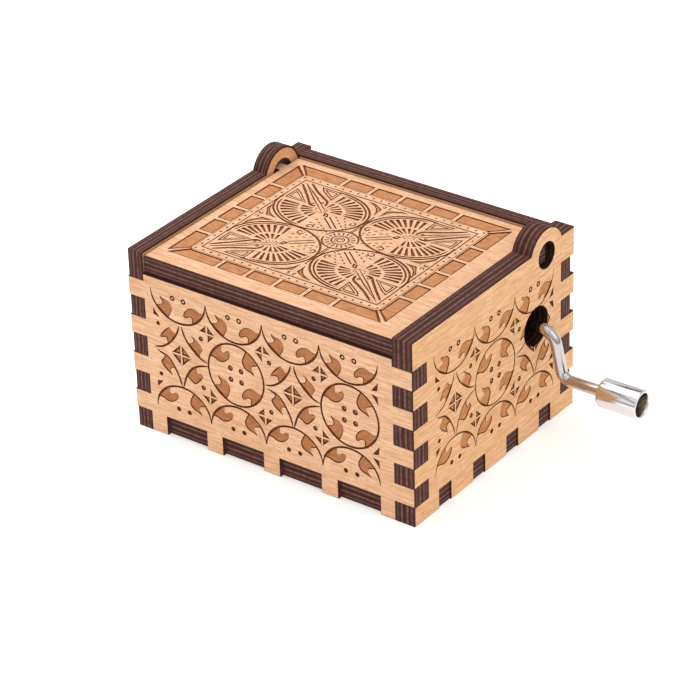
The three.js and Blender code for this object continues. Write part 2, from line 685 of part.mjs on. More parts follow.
function wormThread() {
  const crest = WORM_PITCH_RADIUS + TOOTH_HEIGHT;
  const root = WORM_PITCH_RADIUS - TOOTH_HEIGHT - TOOTH_CLEARANCE;
  const around = WORM_SIDES;
  const rings = Math.round((WORM_LENGTH / WORM_LEAD) * RINGS_PER_LEAD);
  const fade = WORM_LEAD / 2;
  const positions = [];
  const index = [];
  for (let ring = 0; ring <= rings; ring += 1) {
    const z = (ring / rings - 0.5) * WORM_LENGTH;
    const ends = Math.min(1, Math.max(0, (WORM_LENGTH / 2 - Math.abs(z)) / fade));
    for (let step = 0; step < around; step += 1) {
      const angle = (step / around) * 2 * Math.PI;
      const turns = z / WORM_LEAD - (angle + Math.PI / 2) / (2 * Math.PI) + 0.5;
      const distance = Math.abs(turns - Math.round(turns));
      const height = Math.min(1, Math.max(0, (THREAD.halfBase - distance) / THREAD.flank)) * ends;
      const radius = root + (crest - root) * height;
      positions.push(radius * Math.cos(angle), radius * Math.sin(angle), z);
    }
  }
  for (let ring = 0; ring < rings; ring += 1) {
    for (let step = 0; step < around; step += 1) {
      const a = ring * around + step;
      const b = ring * around + ((step + 1) % around);
      index.push(a, b, b + around, a, b + around, a + around);
    }
  }
  const last = rings * around;
  for (let step = 1; step < around - 1; step += 1) {
    index.push(0, step + 1, step, last, last + step, last + step + 1);
  }
  const geometry = new THREE.BufferGeometry();
  geometry.setAttribute('position', new THREE.Float32BufferAttribute(positions, 3));
  geometry.setIndex(index);
  return geometry;
}

// The shaft's stations, counted along it from the middle of the worm.
const SHAFT = {
  end: -12.9,
  grooveFar: -12.4,
  grooveNear: -11.7,
  collarOut: 8.8,
  collarIn: 7.8,
  hubStart: 11.7,
  hubEnd: 16,
  socketFloor: 11.65,
};
const SHAFT_COLLAR_RADIUS = 2.5;
const SHAFT_GROOVE_RADIUS = 1.1;
const SHAFT_HUB_RADIUS = 2.2;
const SHAFT_HUB_CHAMFER = 0.4;

function wormShaftGeometry() {
  const core = WORM_PITCH_RADIUS - TOOTH_HEIGHT - TOOTH_CLEARANCE - 0.05;
  const socket = WIRE_RADIUS + WIRE_FIT;
  const { end, grooveFar, grooveNear, collarOut, collarIn, hubStart, hubEnd, socketFloor } = SHAFT;
  const shaft = turned([
    [0, end], [JOURNAL_RADIUS, end],
    [JOURNAL_RADIUS, grooveFar], [SHAFT_GROOVE_RADIUS, grooveFar],
    [SHAFT_GROOVE_RADIUS, grooveNear], [JOURNAL_RADIUS, grooveNear],
    [JOURNAL_RADIUS, -collarOut], [SHAFT_COLLAR_RADIUS, -collarOut],
    [SHAFT_COLLAR_RADIUS, -collarIn], [core, -collarIn],
    [core, collarIn], [SHAFT_COLLAR_RADIUS, collarIn],
    [SHAFT_COLLAR_RADIUS, collarOut], [JOURNAL_RADIUS, collarOut],
    [JOURNAL_RADIUS, hubStart], [SHAFT_HUB_RADIUS, hubStart],
    [SHAFT_HUB_RADIUS, hubEnd - SHAFT_HUB_CHAMFER], [SHAFT_HUB_RADIUS - SHAFT_HUB_CHAMFER, hubEnd],
    [socket, hubEnd], [socket, socketFloor], [0, socketFloor],
  ]).rotateX(Math.PI / 2);
  return join(shaft, wormThread());
}

// An open ring that snaps into the shaft's groove.
const CLIP = { outer: 2.7, inner: 1.18, thickness: 0.5, halfMouth: Math.PI / 5, steps: 18 };

function clipGeometry() {
  const sweep = 2 * Math.PI - 2 * CLIP.halfMouth;
  const arc = (radius) => Array.from({ length: CLIP.steps + 1 }, (_, i) => {
    const angle = CLIP.halfMouth + (i / CLIP.steps) * sweep;
    return [radius * Math.cos(angle), radius * Math.sin(angle)];
  });
  return plate([...arc(CLIP.outer), ...arc(CLIP.inner).reverse()], CLIP.thickness);
}

class FilletedPath extends THREE.CurvePath {
  constructor(corners, radii) {
    super();
    let from = corners[0];
    for (let i = 1; i < corners.length - 1; i += 1) {
      const back = corners[i - 1].clone().sub(corners[i]).normalize();
      const ahead = corners[i + 1].clone().sub(corners[i]).normalize();
      const half = back.angleTo(ahead) / 2;
      const reach = radii[i - 1] / Math.tan(half);
      const start = corners[i].clone().addScaledVector(back, reach);
      const end = corners[i].clone().addScaledVector(ahead, reach);
      this.add(new THREE.LineCurve3(from, start));
      this.add(new THREE.QuadraticBezierCurve3(start, corners[i], end));
      from = end;
    }
    this.add(new THREE.LineCurve3(from, corners[corners.length - 1]));
  }
}

const WIRE_STEPS = 44;

function crankHandleGeometry() {
  const headStart = KNOB_INNER_X + KNOB_FLOOR + WASHER_THICKNESS + KNOB_PLAY * 2;
  const headEnd = headStart + WIRE_HEAD.thickness;
  const path = new FilletedPath([
    new THREE.Vector3(WIRE_INNER_X, CRANK_Y, CRANK_Z),
    new THREE.Vector3(CRANK_ELBOW_X, CRANK_Y, CRANK_Z),
    new THREE.Vector3(CRANK_ELBOW_X + CRANK_ARM_SLANT, CRANK_Y, KNOB_Z),
    new THREE.Vector3((headStart + headEnd) / 2, CRANK_Y, KNOB_Z),
  ], [ELBOW_FILLET, GRIP_FILLET]);
  const ring = Array.from({ length: WIRE_SIDES }, (_, i) => {
    const angle = (i / WIRE_SIDES) * 2 * Math.PI;
    return new THREE.Vector2(WIRE_RADIUS * Math.cos(angle), WIRE_RADIUS * Math.sin(angle));
  });
  const wire = new THREE.ExtrudeGeometry(new THREE.Shape(ring), {
    steps: WIRE_STEPS, extrudePath: path, bevelEnabled: false,
  });
  return join(wire, rodX(WIRE_HEAD.radius, headStart, headEnd, CRANK_Y, KNOB_Z));
}

function washerGeometry() {
  const bore = WIRE_RADIUS + WIRE_FIT;
  return turned([
    [bore, 0], [WASHER_RADIUS, 0], [WASHER_RADIUS, WASHER_THICKNESS], [bore, WASHER_THICKNESS], [bore, 0],
  ]);
}

// A thin open sleeve with a floor at the end nearer the box.
function knobGeometry() {
  const length = KNOB_OUTER_X - KNOB_INNER_X;
  const bore = WIRE_RADIUS + WIRE_FIT;
  return turned([
    [bore, 0], [KNOB_RADIUS - KNOB_BEVEL, 0], [KNOB_RADIUS, KNOB_BEVEL],
    [KNOB_RADIUS, length - KNOB_BEVEL], [KNOB_RADIUS - KNOB_BEVEL, length], [KNOB_BORE_RADIUS, length],
    [KNOB_BORE_RADIUS, KNOB_FLOOR], [bore, KNOB_FLOOR], [bore, 0],
  ], FINE);
}

function buildCrank() {
  const shaft = add(musicBox, 'worm_shaft', wormShaftGeometry(), steel());
  shaft.rotation.set(Math.PI / 2, Math.PI / 2, 0);
  shaft.position.set(DRUM_X, CRANK_Y, CRANK_Z);

  const clip = add(musicBox, 'shaft_clip', clipGeometry(), steel());
  clip.rotation.set(Math.PI / 2, Math.PI / 2, 0);
  clip.position.set(DRUM_X + SHAFT.grooveFar + 0.1, CRANK_Y, CRANK_Z);

  add(musicBox, 'crank_handle', crankHandleGeometry(), chrome());

  const washer = add(musicBox, 'knob_washer', washerGeometry(), steel());
  washer.rotation.z = -Math.PI / 2;
  washer.position.set(KNOB_INNER_X + KNOB_FLOOR + KNOB_PLAY, CRANK_Y, KNOB_Z);

  const knob = add(musicBox, 'crank_knob', knobGeometry(), chrome());
  knob.rotation.z = -Math.PI / 2;
  knob.position.set(KNOB_INNER_X, CRANK_Y, KNOB_Z);
}

// ---------------------------------------------------------------- assembly

buildCase();
buildLid();
buildBedplate();
buildBrackets();
buildComb();
buildDrum();
buildCrank();

export default musicBox;
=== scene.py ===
"""Looks of a hand-cranked music box: laser-cut plywood panels with an engraved scroll pattern,
a bent chrome crank, and the comb movement inside. Metres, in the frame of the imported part.
Shapes on a panel are drawn in millimetres on its outer face."""

import json
from math import atan2, cos, degrees, dist, hypot, pi, radians, sin, tan

import bpy
import numpy as np
from mathutils import Matrix, Vector
from mathutils.geometry import delaunay_2d_cdt


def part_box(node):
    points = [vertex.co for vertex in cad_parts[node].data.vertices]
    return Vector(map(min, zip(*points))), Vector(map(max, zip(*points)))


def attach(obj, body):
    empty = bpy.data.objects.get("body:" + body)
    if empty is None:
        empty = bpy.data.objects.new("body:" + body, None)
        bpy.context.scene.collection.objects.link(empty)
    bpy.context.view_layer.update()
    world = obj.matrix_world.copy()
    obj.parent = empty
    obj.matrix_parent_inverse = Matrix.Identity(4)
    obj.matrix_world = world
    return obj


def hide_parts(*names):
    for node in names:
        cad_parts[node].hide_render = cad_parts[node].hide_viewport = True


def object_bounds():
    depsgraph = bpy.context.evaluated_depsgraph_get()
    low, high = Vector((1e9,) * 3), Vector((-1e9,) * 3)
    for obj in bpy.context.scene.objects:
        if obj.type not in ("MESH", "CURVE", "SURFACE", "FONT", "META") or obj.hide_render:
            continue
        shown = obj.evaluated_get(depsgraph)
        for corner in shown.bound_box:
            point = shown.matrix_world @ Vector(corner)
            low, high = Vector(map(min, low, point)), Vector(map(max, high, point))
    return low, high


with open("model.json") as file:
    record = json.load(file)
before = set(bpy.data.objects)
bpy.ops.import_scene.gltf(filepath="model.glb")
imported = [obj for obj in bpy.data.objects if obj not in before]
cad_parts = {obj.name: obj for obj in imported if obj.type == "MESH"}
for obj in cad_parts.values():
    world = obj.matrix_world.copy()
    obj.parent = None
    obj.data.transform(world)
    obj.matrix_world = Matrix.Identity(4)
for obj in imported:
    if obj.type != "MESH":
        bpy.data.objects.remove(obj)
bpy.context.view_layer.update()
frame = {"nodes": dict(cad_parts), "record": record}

MM = 0.001

# The laser's work on a panel, in millimetres: the depth of each kind of mark, half the width of a line,
# the contour of a filled shape, the scorched chamfer along the face's cut edges, and the browned band
# along the back's
DEPTHS = {"surface": 0.0, "scorch": 0.0, "tint": 0.08, "fill": 0.12, "line": 0.22}
HALF_STROKE = 0.21
FINE_STROKE = 0.14
CONTOUR = 0.3
SCORCH_WIDTH = 0.13
SCORCH_DROP = 0.09
SMOKE_WIDTH = 0.4


# ---- camera

# Angles in degrees, the distance in metres, lens and sensor in millimetres. The aim is measured from
# the middle of everything's box.
AZIMUTH = 37.07
ELEVATION = 30.19
ROLL = 1.815
DISTANCE = 0.5986
LENS = 163.7
SENSOR = 36.0
AIM_OFFSET = Vector((-7.45, -7.05, -2.2)) * MM


def add_object(name, data):
    made = bpy.data.objects.new(name, data)
    bpy.context.scene.collection.objects.link(made)
    return made


def from_angles(azimuth, elevation):
    """The direction of something, by its azimuth from the front and its elevation."""
    turn, rise = radians(azimuth), radians(elevation)
    return Vector((sin(turn) * cos(rise), -cos(turn) * cos(rise), sin(rise)))


def add_camera():
    low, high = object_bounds()
    azimuth, roll = radians(AZIMUTH), radians(ROLL)
    back = from_angles(AZIMUTH, ELEVATION)
    level = Vector((cos(azimuth), sin(azimuth), 0))
    right = level * cos(roll) - back.cross(level) * sin(roll)
    up = back.cross(right)
    data = bpy.data.cameras.new("camera")
    data.lens = LENS
    data.sensor_width = SENSOR
    data.clip_start = 0.01
    data.clip_end = 10
    camera = add_object("camera", data)
    turn = Matrix((right, up, back)).transposed().to_4x4()
    place = (low + high) / 2 + AIM_OFFSET + back * DISTANCE
    camera.matrix_world = Matrix.Translation(place) @ turn
    bpy.context.scene.camera = camera


# ---- material helpers


def srgb(*values):
    """A colour given in 0-255 screen values, as Blender's linear one."""
    shares = [value / 255 for value in values]
    return (*(x / 12.92 if x <= 0.04045 else ((x + 0.055) / 1.055) ** 2.4 for x in shares), 1)


class Nodes:
    """Short ways to add nodes to a tree. A value may be a number, a colour or another node's output."""

    def __init__(self, tree):
        self.tree = tree

    def feed(self, socket, value):
        if isinstance(value, bpy.types.NodeSocket):
            self.tree.links.new(value, socket)
        else:
            socket.default_value = value

    def node(self, kind, settings=None, **sockets):
        made = self.tree.nodes.new("ShaderNode" + kind)
        for key, value in (settings or {}).items():
            setattr(made, key, value)
        for name, value in sockets.items():
            self.feed(made.inputs[name.replace("_", " ")], value)
        return made

    def ramp(self, factor, stops):
        made = self.node("ValToRGB", Fac=factor)
        elements = made.color_ramp.elements
        while len(elements) < len(stops):
            elements.new(0.5)
        for element, (position, color) in zip(elements, stops):
            element.position = position
            element.color = color if hasattr(color, "__len__") else (color, color, color, 1)
        return made.outputs["Color"]

    def mix(self, factor, first, second, how="MIX"):
        return self.node("MixRGB", {"blend_type": how}, Fac=factor,
                         Color1=first, Color2=second).outputs["Color"]

    def math(self, how, first, second=0.0):
        made = self.node("Math", {"operation": how})
        self.feed(made.inputs[0], first)
        self.feed(made.inputs[1], second)
        return made.outputs[0]


class Recipe(Nodes):
    """A node material under construction, with its shader."""

    def __init__(self, name, roughness, metallic=0.0, specular=0.5):
        self.material = bpy.data.materials.new(name)
        self.material.use_nodes = True
        super().__init__(self.material.node_tree)
        self.shader = self.tree.nodes["Principled BSDF"]
        self.set("Roughness", roughness)
        self.set("Metallic", metallic)
        self.set("Specular IOR Level", specular)

    def set(self, name, value):
        self.feed(self.shader.inputs[name], value)

    def uv(self, scale=(1, 1, 1), offset=(0, 0, 0)):
        """Millimetres on the panel, the first of them along the grain."""
        source = self.node("TexCoord").outputs["UV"]
        return self.node("Mapping", Vector=source, Scale=scale, Location=offset).outputs[0]

    def place(self):
        """Metres in the piece's own frame."""
        return self.node("TexCoord").outputs["Object"]

    def paint(self, tone, cast):
        self.set("Base Color", self.mix(1.0, tone, cast, "MULTIPLY"))

    def noise(self, vector, scale, detail=3, roughness=0.55, distortion=0.0):
        return self.node("TexNoise", Vector=vector, Scale=scale, Detail=detail,
                         Roughness=roughness, Distortion=distortion).outputs["Fac"]

    def bump(self, height, strength, distance):
        bump = self.node("Bump", Height=height, Strength=strength, Distance=distance)
        self.set("Normal", bump.outputs[0])


# ---- wood materials

WOOD_LIGHT = srgb(244, 201, 162)
WOOD_MID = srgb(232, 184, 142)
WOOD_DARK = srgb(205, 149, 104)
PORE = srgb(168, 108, 68)
CHAR_PLY = srgb(164, 108, 92)

# The darkest and the lightest tone of each kind of burnt wood
TINT = srgb(178, 118, 76), srgb(208, 150, 102)
FILL = srgb(162, 102, 64), srgb(192, 131, 85)
LINE = srgb(82, 37, 19), srgb(124, 63, 33)
SHALLOW = srgb(96, 48, 27), srgb(150, 88, 52)
CHAR = srgb(36, 17, 15), srgb(68, 36, 31)

# Noise over a panel, in cells per millimetre along and across the grain
BAND_SCALE = (0.03, 0.16, 1)
STREAK_SCALE = (0.2, 1.9, 1)
PORE_SCALE = (0.9, 5.5, 1)
PORE_OFFSET = (31, 7, 0)
WEAR_SCALE = (0.5, 1.4, 1)
CHAR_SCALE = (1.3, 1.3, 1)
WAVER_SCALE = (0.35, 0.5, 1)

# Noise on a cut edge, in cells per millimetre along it and per thickness across it
SOOT_SCALE = (0.25, 14.0, 1)
SMUDGE_SCALE = (1.2, 2.0, 1)

# How pale a cut edge's plies are, by depth from the face at 0 to the back at 1
PLY_TONES = [
    (0.0, 0.0), (0.1, 0.25), (0.16, 0.5), (0.24, 0.02), (0.32, 0.1), (0.38, 1.0), (0.46, 0.1),
    (0.54, 0.0), (0.62, 0.15), (0.68, 0.9), (0.74, 0.1), (0.8, 0.0), (0.88, 0.45), (0.95, 0.1)]


def wood_material(name, cast):
    """Bass plywood, with broad bands, fine streaks and short pores."""
    recipe = Recipe(name, roughness=0.58, specular=0.35)
    bands = recipe.noise(recipe.uv(BAND_SCALE), 1.0, 4, 0.6, 0.6)
    streaks = recipe.noise(recipe.uv(STREAK_SCALE), 1.0, 5, 0.68)
    pores = recipe.noise(recipe.uv(PORE_SCALE, PORE_OFFSET), 1.0, 2, 0.5)
    tone = recipe.ramp(bands, [(0.3, WOOD_MID), (0.5, WOOD_LIGHT), (0.7, WOOD_MID)])
    shade = recipe.ramp(streaks, [(0.4, 0.85), (0.6, 0.0)])
    tone = recipe.mix(recipe.math("MULTIPLY", shade, 0.8), tone, WOOD_DARK)
    pits = recipe.ramp(pores, [(0.31, 0.9), (0.4, 0.0)])
    recipe.paint(recipe.mix(recipe.math("MULTIPLY", pits, 0.65), tone, PORE), cast)
    recipe.bump(streaks, strength=0.15, distance=0.00015)
    return recipe.material


def engraved_material(name, dark, light, cast):
    """The floor of an engraved patch: browned, with the raster lines that the laser leaves."""
    recipe = Recipe(name, roughness=0.8, specular=0.15)
    wear = recipe.noise(recipe.uv(WEAR_SCALE), 1.0, 4)
    raster = recipe.node("TexWave", {"bands_direction": "Y"}, Vector=recipe.uv(),
                         Scale=1.25, Distortion=0.6, Detail=1.0).outputs["Fac"]
    tone = recipe.ramp(wear, [(0.3, dark), (0.62, light)])
    tone = recipe.mix(recipe.math("MULTIPLY", raster, 0.35), tone, dark)
    recipe.paint(tone, cast)
    recipe.bump(raster, strength=0.25, distance=0.00005)
    return recipe.material


def burnt_material(name, dark, light):
    """Wood that the laser has charred, darker in places."""
    recipe = Recipe(name, roughness=0.85, specular=0.15)
    wear = recipe.noise(recipe.uv(CHAR_SCALE), 1.0, 4)
    recipe.set("Base Color", recipe.ramp(wear, [(0.3, dark), (0.65, light)]))
    recipe.bump(wear, strength=0.3, distance=0.00005)
    return recipe.material


def edge_material(name, painted_shade):
    """A charred cut through the ply. The UV's second value runs from 0 at the face to 1 at the back. Its
    colour is multiplied by the last argument, which below white is painted shade.
    """
    recipe = Recipe(name, roughness=0.68, specular=0.22)
    coordinate = recipe.node("TexCoord").outputs["UV"]
    depth = recipe.node("SeparateXYZ", Vector=coordinate).outputs["Y"]
    waver = recipe.math("SUBTRACT", recipe.noise(recipe.uv(WAVER_SCALE), 1.0, 2), 0.5)
    depth = recipe.math("ADD", depth, recipe.math("MULTIPLY", waver, 0.05))
    plies = recipe.ramp(depth, PLY_TONES)
    soot = recipe.noise(recipe.uv(SOOT_SCALE), 1.0, 4, 0.65)
    smudge = recipe.noise(recipe.uv(SMUDGE_SCALE), 1.0, 4)
    char = recipe.ramp(soot, [(0.35, CHAR[0]), (0.7, CHAR[1])])
    glow = recipe.math("MULTIPLY", plies, recipe.ramp(smudge, [(0.3, 0.3), (0.65, 0.85)]))
    recipe.paint(recipe.mix(glow, char, CHAR_PLY), painted_shade)
    recipe.bump(soot, strength=0.3, distance=0.00008)
    return recipe.material


# ---- curves on a panel


def smooth(points, steps=4):
    """A Catmull-Rom curve through the points."""
    padded = [points[0], *points, points[-1]]
    curve = []
    for i in range(len(points) - 1):
        for step in range(steps):
            t = step / steps
            curve.append(tuple(
                0.5 * (2 * b + (c - a) * t + (2 * a - 5 * b + 4 * c - d) * t * t
                       + (3 * b - a - 3 * c + d) * t ** 3)
                for a, b, c, d in zip(*padded[i:i + 4])))
    return curve + [points[-1]]


def arc(cu, cv, ru, rv, start, end, steps=24):
    """Points on an ellipse from one angle to another, in degrees."""
    angles = (radians(start + (end - start) * i / steps) for i in range(steps + 1))
    return [(cu + ru * cos(a), cv + rv * sin(a)) for a in angles]


def disc(cu, cv, radius, steps=14):
    return arc(cu, cv, radius, radius, 0, 360, steps)[:-1]


def moved(points, du, dv, su=1.0, sv=1.0):
    """The points scaled or mirrored by su and sv, then moved by du and dv."""
    return [(du + su * u, dv + sv * v) for u, v in points]


def area(points):
    """The area that a closed outline encloses, below zero where it turns clockwise."""
    following = points[1:] + points[:1]
    return sum(a[0] * b[1] - b[0] * a[1] for a, b in zip(points, following)) / 2


def left_of(points, i):
    """The direction to the left of an open curve at one of its points."""
    before, after = points[max(i - 1, 0)], points[min(i + 1, len(points) - 1)]
    du, dv = after[0] - before[0], after[1] - before[1]
    length = hypot(du, dv) or 1.0
    return -dv / length, du / length


def stroke(points, half=HALF_STROKE, taper=0.35):
    """A ribbon along an open curve. Its ends have this share of its width."""
    left, right = [], []
    last = len(points) - 1
    for i, (u, v) in enumerate(points):
        nu, nv = left_of(points, i)
        end = min(i, last - i) / max(1, last)
        width = half * (taper + (1 - taper) * min(1.0, end * 8))
        left.append((u + nu * width, v + nv * width))
        right.append((u - nu * width, v - nv * width))
    return right + left[::-1]


def inset(points, distance):
    """The same closed outline with its sides moved in, and less so where it is narrow."""
    if area(points) < 0:
        points = points[::-1]
    made = []
    count = len(points)
    for i, (u, v) in enumerate(points):
        du, dv = mitre(points[i - 1], points[i], points[(i + 1) % count])
        apart = [hypot(u - points[j][0], v - points[j][1])
                 for j in range(count) if 2 < (i - j) % count < count - 2]
        reach = min(distance, min(apart) * 0.3) if apart else distance
        made.append((u + du * reach, v + dv * reach))
    return made


def mitre(before, here, after):
    """How far a corner moves when both its sides move in by one."""
    normals = []
    for a, b in ((before, here), (here, after)):
        length = dist(a, b) or 1.0
        normals.append(((a[1] - b[1]) / length, (b[0] - a[0]) / length))
    (au, av), (bu, bv) = normals
    share = 1 / max(0.4, 1 + au * bu + av * bv)
    return (au + bu) * share, (av + bv) * share


class Artwork:
    """Closed shapes painted on one panel. The last one painted on a spot decides it."""

    def __init__(self, half=HALF_STROKE, fill="fill"):
        self.shapes = []
        self.half = half
        self.fill = fill

    def paint(self, kind, points):
        self.shapes.append((kind, points if area(points) > 0 else points[::-1]))

    def line(self, points, half=None, taper=0.35):
        self.paint("line", stroke(points, half or self.half, taper))

    def patch(self, points):
        """An engraved patch with a darker contour."""
        self.paint("line", points)
        self.paint(self.fill, inset(points, CONTOUR))

    def nest(self, points):
        """Dark outlines inside each other, with a light gap between."""
        for share, kind in ((0.0, "line"), (0.28, "surface"), (0.55, "line"), (0.8, "surface")):
            self.paint(kind, inset(points, share))

    def ring_dot(self, u, v, radius=0.58, hole=0.24, middle="surface"):
        self.paint("line", disc(u, v, radius))
        self.paint(middle, disc(u, v, hole, 10))

    def dot(self, u, v, radius=0.5):
        self.paint("line", disc(u, v, radius))


# ---- panels


class Sheet:
    """A flat CAD panel seen from outside, in millimetres: u to the right, v up, depth below its face."""

    def __init__(self, node, u_axis, v_axis):
        self.node = node
        self.u_axis, self.v_axis = Vector(u_axis), Vector(v_axis)
        self.normal = self.u_axis.cross(self.v_axis)
        low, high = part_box(node)
        self.level = max(low.dot(self.normal), high.dot(self.normal))
        self.thickness = abs((high - low).dot(self.normal)) / MM
        ends = [self.flatten(corner) for corner in (low, high)]
        (self.left, self.right), (self.foot, self.top) = (sorted(pair) for pair in zip(*ends))

    def flatten(self, place):
        return tuple(round(place.dot(axis) / MM, 3) for axis in (self.u_axis, self.v_axis))

    def point(self, u, v, depth):
        return (self.u_axis * u + self.v_axis * v) * MM + self.normal * (self.level - depth * MM)

    def loops(self):
        """The outline of the panel's outer face, then its holes, read from the CAD mesh."""
        mesh = frame["nodes"][self.node].data
        edges = {}
        for polygon in mesh.polygons:
            corners = [mesh.vertices[i].co for i in polygon.vertices]
            height = corners[0].dot(self.normal)
            if polygon.normal.dot(self.normal) < 0.99 or abs(height - self.level) > 0.01 * MM:
                continue
            flat = [self.flatten(corner) for corner in corners]
            for a, b in zip(flat, flat[1:] + flat[:1]):
                if (b, a) in edges:
                    del edges[(b, a)]
                else:
                    edges[(a, b)] = True
        return sorted((tidy(loop) for loop in chain(edges)), key=lambda p: -abs(area(p)))


def chain(edges):
    """Closed loops made from directed edges."""
    following = {}
    for a, b in edges:
        following.setdefault(a, []).append(b)
    loops = []
    while following:
        start = next(iter(following))
        loop, here = [], start
        while here in following:
            loop.append(here)
            there = following[here].pop()
            if not following[here]:
                del following[here]
            here = there
        loops.append(loop)
    return loops


def tidy(loop):
    """Drops points that lie on a straight run, and draws a round hole finely."""
    centre = [sum(p[k] for p in loop) / len(loop) for k in (0, 1)]
    radii = [dist(p, centre) for p in loop]
    if len(loop) >= 16 and max(radii) - min(radii) < 0.02:
        ring = disc(centre[0], centre[1], max(radii), 64)
        return ring if area(loop) > 0 else ring[::-1]
    corners = zip(loop[-1:] + loop, loop, loop[1:] + loop[:1])
    return [here for before, here, after in corners if abs(area([before, here, after])) > 1e-3]


def inside(loop, places):
    """Which places lie inside a closed loop, by counting the sides to their right."""
    u, v = places[:, 0], places[:, 1]
    corners = np.array(loop)
    held = np.zeros(len(places), bool)
    near = np.nonzero((u > corners[:, 0].min()) & (u < corners[:, 0].max())
                      & (v > corners[:, 1].min()) & (v < corners[:, 1].max()))[0]
    u, v = u[near], v[near]
    crossed = np.zeros(len(near), bool)
    for (au, av), (bu, bv) in zip(corners, np.roll(corners, -1, axis=0)):
        if av != bv:
            spans = (av > v) != (bv > v)
            crossed ^= spans & (u < au + (v - av) * (bu - au) / (bv - av))
    held[near] = crossed
    return held


def triangulate(loops):
    """Triangles that keep every side of the closed loops, all turning the same way."""
    points, sides = [], []
    for loop in loops:
        first = len(points)
        count = len(loop)
        sides.extend((first + i, first + (i + 1) % count) for i in range(count))
        points.extend(Vector(p) for p in loop)
    made = delaunay_2d_cdt(points, sides, [], 0, 1e-4, False)
    vertices = np.array([tuple(v) for v in made[0]])
    triangles = np.array([tuple(t) for t in made[2]])
    a, b, c = (vertices[triangles[:, k]] for k in range(3))
    turn = (b[:, 0] - a[:, 0]) * (c[:, 1] - a[:, 1]) - (c[:, 0] - a[:, 0]) * (b[:, 1] - a[:, 1])
    triangles[turn < 0] = triangles[turn < 0][:, ::-1]
    return vertices, triangles, (a + b + c) / 3


def regions(outline, holes, shapes):
    """Triangles of the panel's face with what the laser left there."""
    loops = [outline, *holes, *(points for kind, points in shapes)]
    vertices, triangles, middles = triangulate(loops)
    wood = inside(outline, middles)
    for hole in holes:
        wood &= ~inside(hole, middles)
    kinds = np.full(len(triangles), "surface")
    for kind, points in shapes:
        kinds[inside(points, middles)] = kind
    kept = [(tuple(map(int, t)), str(k)) for t, k, w in zip(triangles, kinds, wood) if w]
    return [tuple(map(float, v)) for v in vertices], kept


# The step along the grain from panel to panel, in millimetres, and the step across it as a share of that
GRAIN_STEP = 120.0
GRAIN_DRIFT = 0.7

# The looks of a panel's faces, in the order of its materials
LOOKS = ["surface", "tint", "fill", "line", "scorch", "edge", "bore"]


class PanelMesh:
    """Collects the corners, faces, looks and UVs of one panel."""

    def __init__(self, sheet, vertices, grain):
        self.sheet, self.flat, self.grain = sheet, vertices, grain
        self.points, self.faces, self.looks, self.uvs = [], [], [], []
        self.index = {}

    def corner(self, i, depth):
        key = (i, round(depth, 4))
        if key not in self.index:
            self.index[key] = len(self.points)
            self.points.append(self.sheet.point(*self.flat[i], depth))
        return self.index[key]

    def face_uv(self, i):
        """Where the grain is read. It is moved, so that no two panels look alike."""
        u, v = self.flat[i]
        return (u + self.grain, v + self.grain * GRAIN_DRIFT)

    def add(self, corners, look, uvs):
        self.faces.append([self.corner(i, depth) for i, depth in corners])
        self.looks.append(LOOKS.index(look))
        self.uvs.extend(uvs)

    def wall(self, a, b, tops, bottoms, look, uvs=None):
        """A side wall under the edge a to b. Its top or bottom depth may differ at the two ends."""
        corners = [(a, tops[0]), (a, bottoms[0]), (b, bottoms[1]), (b, tops[1])]
        uvs = uvs or [self.face_uv(i) for i, depth in corners]
        kept = [k for k in range(4) if corners[k] != corners[k - 1]]
        if len(kept) > 2:
            self.add([corners[k] for k in kept], look, [uvs[k] for k in kept])


def burnt_band(outline, holes, width):
    """The shapes that leave a burnt band along every cut edge."""
    band = [("scorch", outline), ("surface", inset(outline, width))]
    return band + [("scorch", inset(hole, -width)) for hole in holes]


def build_panel(sheet, artwork, grain, body, materials):
    """Remakes a CAD panel as one closed mesh with engraved floors, their walls and burnt cut edges."""
    outline, *holes = sheet.loops()
    shapes = burnt_band(outline, holes, SCORCH_WIDTH) + artwork.shapes
    vertices, triangles = regions(outline, holes, shapes)
    made = PanelMesh(sheet, vertices, grain)
    edges = {pair for corners, kind in triangles for pair in zip(corners, corners[1:] + corners[:1])}
    rim = [(a, b) for a, b in sorted(edges) if (b, a) not in edges]
    rim_points = {a for a, b in rim}
    owner = {}
    for corners, kind in triangles:
        drop = SCORCH_DROP if kind == "scorch" else 0.0
        depths = [DEPTHS[kind] + (drop if i in rim_points else 0.0) for i in corners]
        made.add(list(zip(corners, depths)), kind, [made.face_uv(i) for i in corners])
        for k in range(3):
            owner[(corners[k], corners[(k + 1) % 3])] = (depths[k], depths[(k + 1) % 3])
    for (a, b), tops in owner.items():
        bottoms = owner.get((b, a), tops)[::-1]
        if bottoms != tops and bottoms[0] >= tops[0] and bottoms[1] >= tops[1]:
            made.wall(a, b, tops, bottoms, "line")
    back = (sheet.thickness, sheet.thickness)
    rim_loops = chain(rim)
    outer = max(rim_loops, key=lambda loop: abs(area([vertices[i] for i in loop])))
    for loop in rim_loops:
        run = grain
        # Hole walls take the darkened bore look: painted shade inside the holes.
        look = "edge" if loop is outer else "bore"
        for a, b in zip(loop, loop[1:] + loop[:1]):
            end = run + dist(vertices[a], vertices[b])
            made.wall(a, b, owner[(a, b)], back, look, [(run, 0), (run, 1), (end, 1), (end, 0)])
            run = end
    add_back(made, vertices, rim_loops, sheet.thickness)
    add_piece("wood_" + sheet.node, (made.points, made.faces), body, materials, [sheet.node],
              PANEL_CREASE, made.looks, made.uvs)


